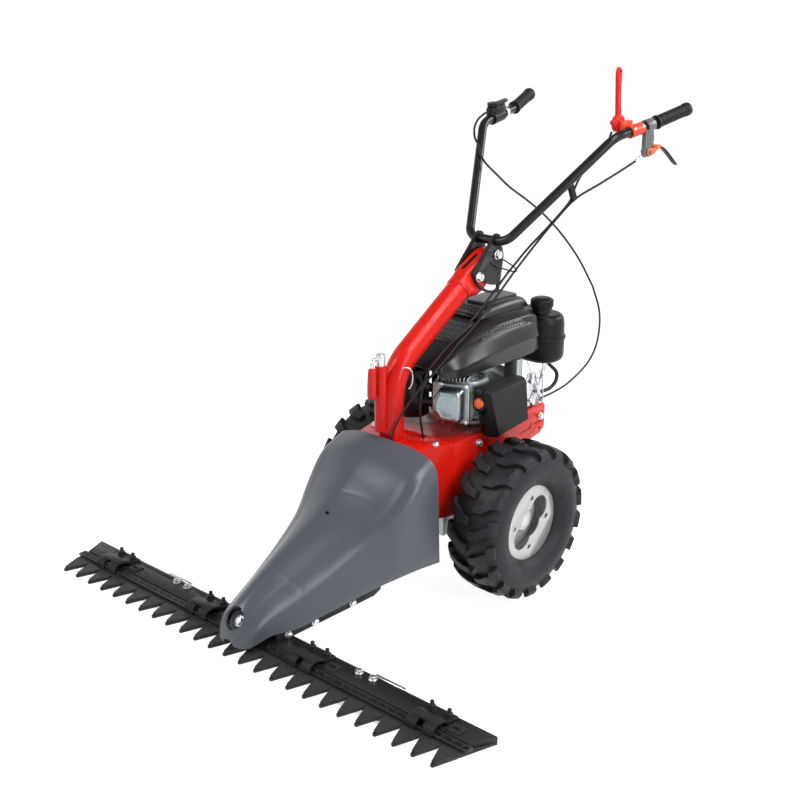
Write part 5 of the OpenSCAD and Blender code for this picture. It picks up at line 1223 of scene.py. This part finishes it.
for node_name, edge_width in (
        ("engine_block", 1.2), ("carburettor", 0.8), ("control_bracket", 0.6), ("chassis_deck", 1.4),
        ("left_side_plate", 1.2), ("right_side_plate", 1.2), ("bracket_plates", 1),
        ("head_bolts", 0.6), ("hold_down_clips", 0.7), ("bar_beam", 0.6), ("knife_back", 0.5),
        ("gearbox_case", 1.8), ("gearbox_cover", 1.4), ("bar_drive_case", 2.4), ("bar_carrier", 1),
        ("muffler", 1.4), ("clutch_bracket", 1.2), ("drive_lever_mount", 1.6), ("throttle_lever", 2.2),
        ("clamp_screw", 0.8), ("skid_shoes", 0.5), ("wheel_hubs", 1), ("column_socket", 1),
        ("finger_comb", 0.5)):
    rounded(node_name, edge_width)

# The wheels stand rolled a little on from the CAD's stance, as in the photo
stance = Matrix.Translation(AXLE) @ Matrix.Rotation(math.radians(-30), 4, "X") @ Matrix.Translation(-AXLE)
for node_name, side in (("left_rim", 1), ("right_rim", -1)):
    rounded(node_name, 1.1).data.transform(stance)
    dish = Shape().lathe([(22.1, 12), (30, 13), (46, 8), (66, 0), (71.2, -3), (71.2, -6), (46, 4),
                          (30, 9), (22.1, 9), (22.1, 12)], wheel_place(side), 64)
    dish.make("wheel_dish_" + ("left" if side > 0 else "right"), "zinc", "wheels", "hub_steel")

# Floor and light


def background_rays(tree):
    """1 for the rays that show the background: seen straight, in a reflection or through glass."""
    path = tree.nodes.new("ShaderNodeLightPath")
    total = path.outputs["Is Camera Ray"]
    for kind in ("Is Glossy Ray", "Is Transmission Ray"):
        largest = tree.nodes.new("ShaderNodeMath")
        largest.operation = "MAXIMUM"
        tree.links.new(total, largest.inputs[0])
        tree.links.new(path.outputs[kind], largest.inputs[1])
        total = largest.outputs[0]
    return total


def make_floor():
    """A flat floor that sweeps up into a backdrop all round, far behind the lamps."""
    flat, bend = 30000, 12000
    sweep = [(0, 0), (8000, 0), (flat, 0)]
    for k in range(1, 9):
        sweep.append((flat + bend * math.sin(k * math.pi / 16), bend - bend * math.cos(k * math.pi / 16)))
    mesh = Shape().lathe(sweep + [(flat + bend, 2 * bend)], Matrix(), 96).bm
    data = bpy.data.meshes.new("floor")
    mesh.to_mesh(data)
    mesh.free()
    data.polygons.foreach_set("use_smooth", [True] * len(data.polygons))
    floor = bpy.data.objects.new("floor", data)
    bpy.context.scene.collection.objects.link(floor)
    g = Graph("pale_floor")
    tree = g.tree
    matte = g.add("ShaderNodeBsdfDiffuse", Color=(0.8, 0.8, 0.8, 1))
    grey = g.add("ShaderNodeBsdfDiffuse", Color=(0.42, 0.42, 0.42, 1))
    glow = g.add("ShaderNodeEmission", Color=(1, 1, 1, 1), Strength=0.92)
    both = g.add("ShaderNodeAddShader")
    tree.links.new(grey.outputs[0], both.inputs[0])
    tree.links.new(glow.outputs[0], both.inputs[1])
    choose = g.add("ShaderNodeMixShader")
    tree.links.new(background_rays(tree), choose.inputs[0])
    tree.links.new(matte.outputs[0], choose.inputs[1])
    tree.links.new(both.outputs[0], choose.inputs[2])
    tree.links.new(choose.outputs[0], tree.nodes["Material Output"].inputs["Surface"])
    data.materials.append(g.material)


def area_light(name, at, target, size, watts):
    data = bpy.data.lights.new(name, "AREA")
    data.shape, data.size, data.size_y, data.energy = "RECTANGLE", size[0], size[1], watts
    lamp = bpy.data.objects.new(name, data)
    bpy.context.collection.objects.link(lamp)
    lamp.location = at
    lamp.rotation_euler = (Vector(target) - Vector(at)).to_track_quat("-Z", "Y").to_euler()


def make_light():
    world = bpy.data.worlds.new("studio")
    bpy.context.scene.world = world
    world.use_nodes = True
    background = world.node_tree.nodes["Background"]
    background.inputs["Color"].default_value = (1, 1, 1, 1)
    background.inputs["Strength"].default_value = 0.30
    middle = (0, 0, 0.35)
    area_light("key_light", (-1.4, -2.6, 2.8), middle, (1.6, 1.6), 60)
    area_light("top_light", (1.5, 0.1, 2.8), middle, (0.9, 2.0), 50)
    area_light("side_light", (3.0, -0.4, 1.6), middle, (1.0, 1.8), 34)
    area_light("back_light", (1.5, 2.6, 2.1), middle, (1.8, 0.9), 50)


make_floor()
make_light()

scene = bpy.context.scene
scene.view_settings.view_transform = "Standard"
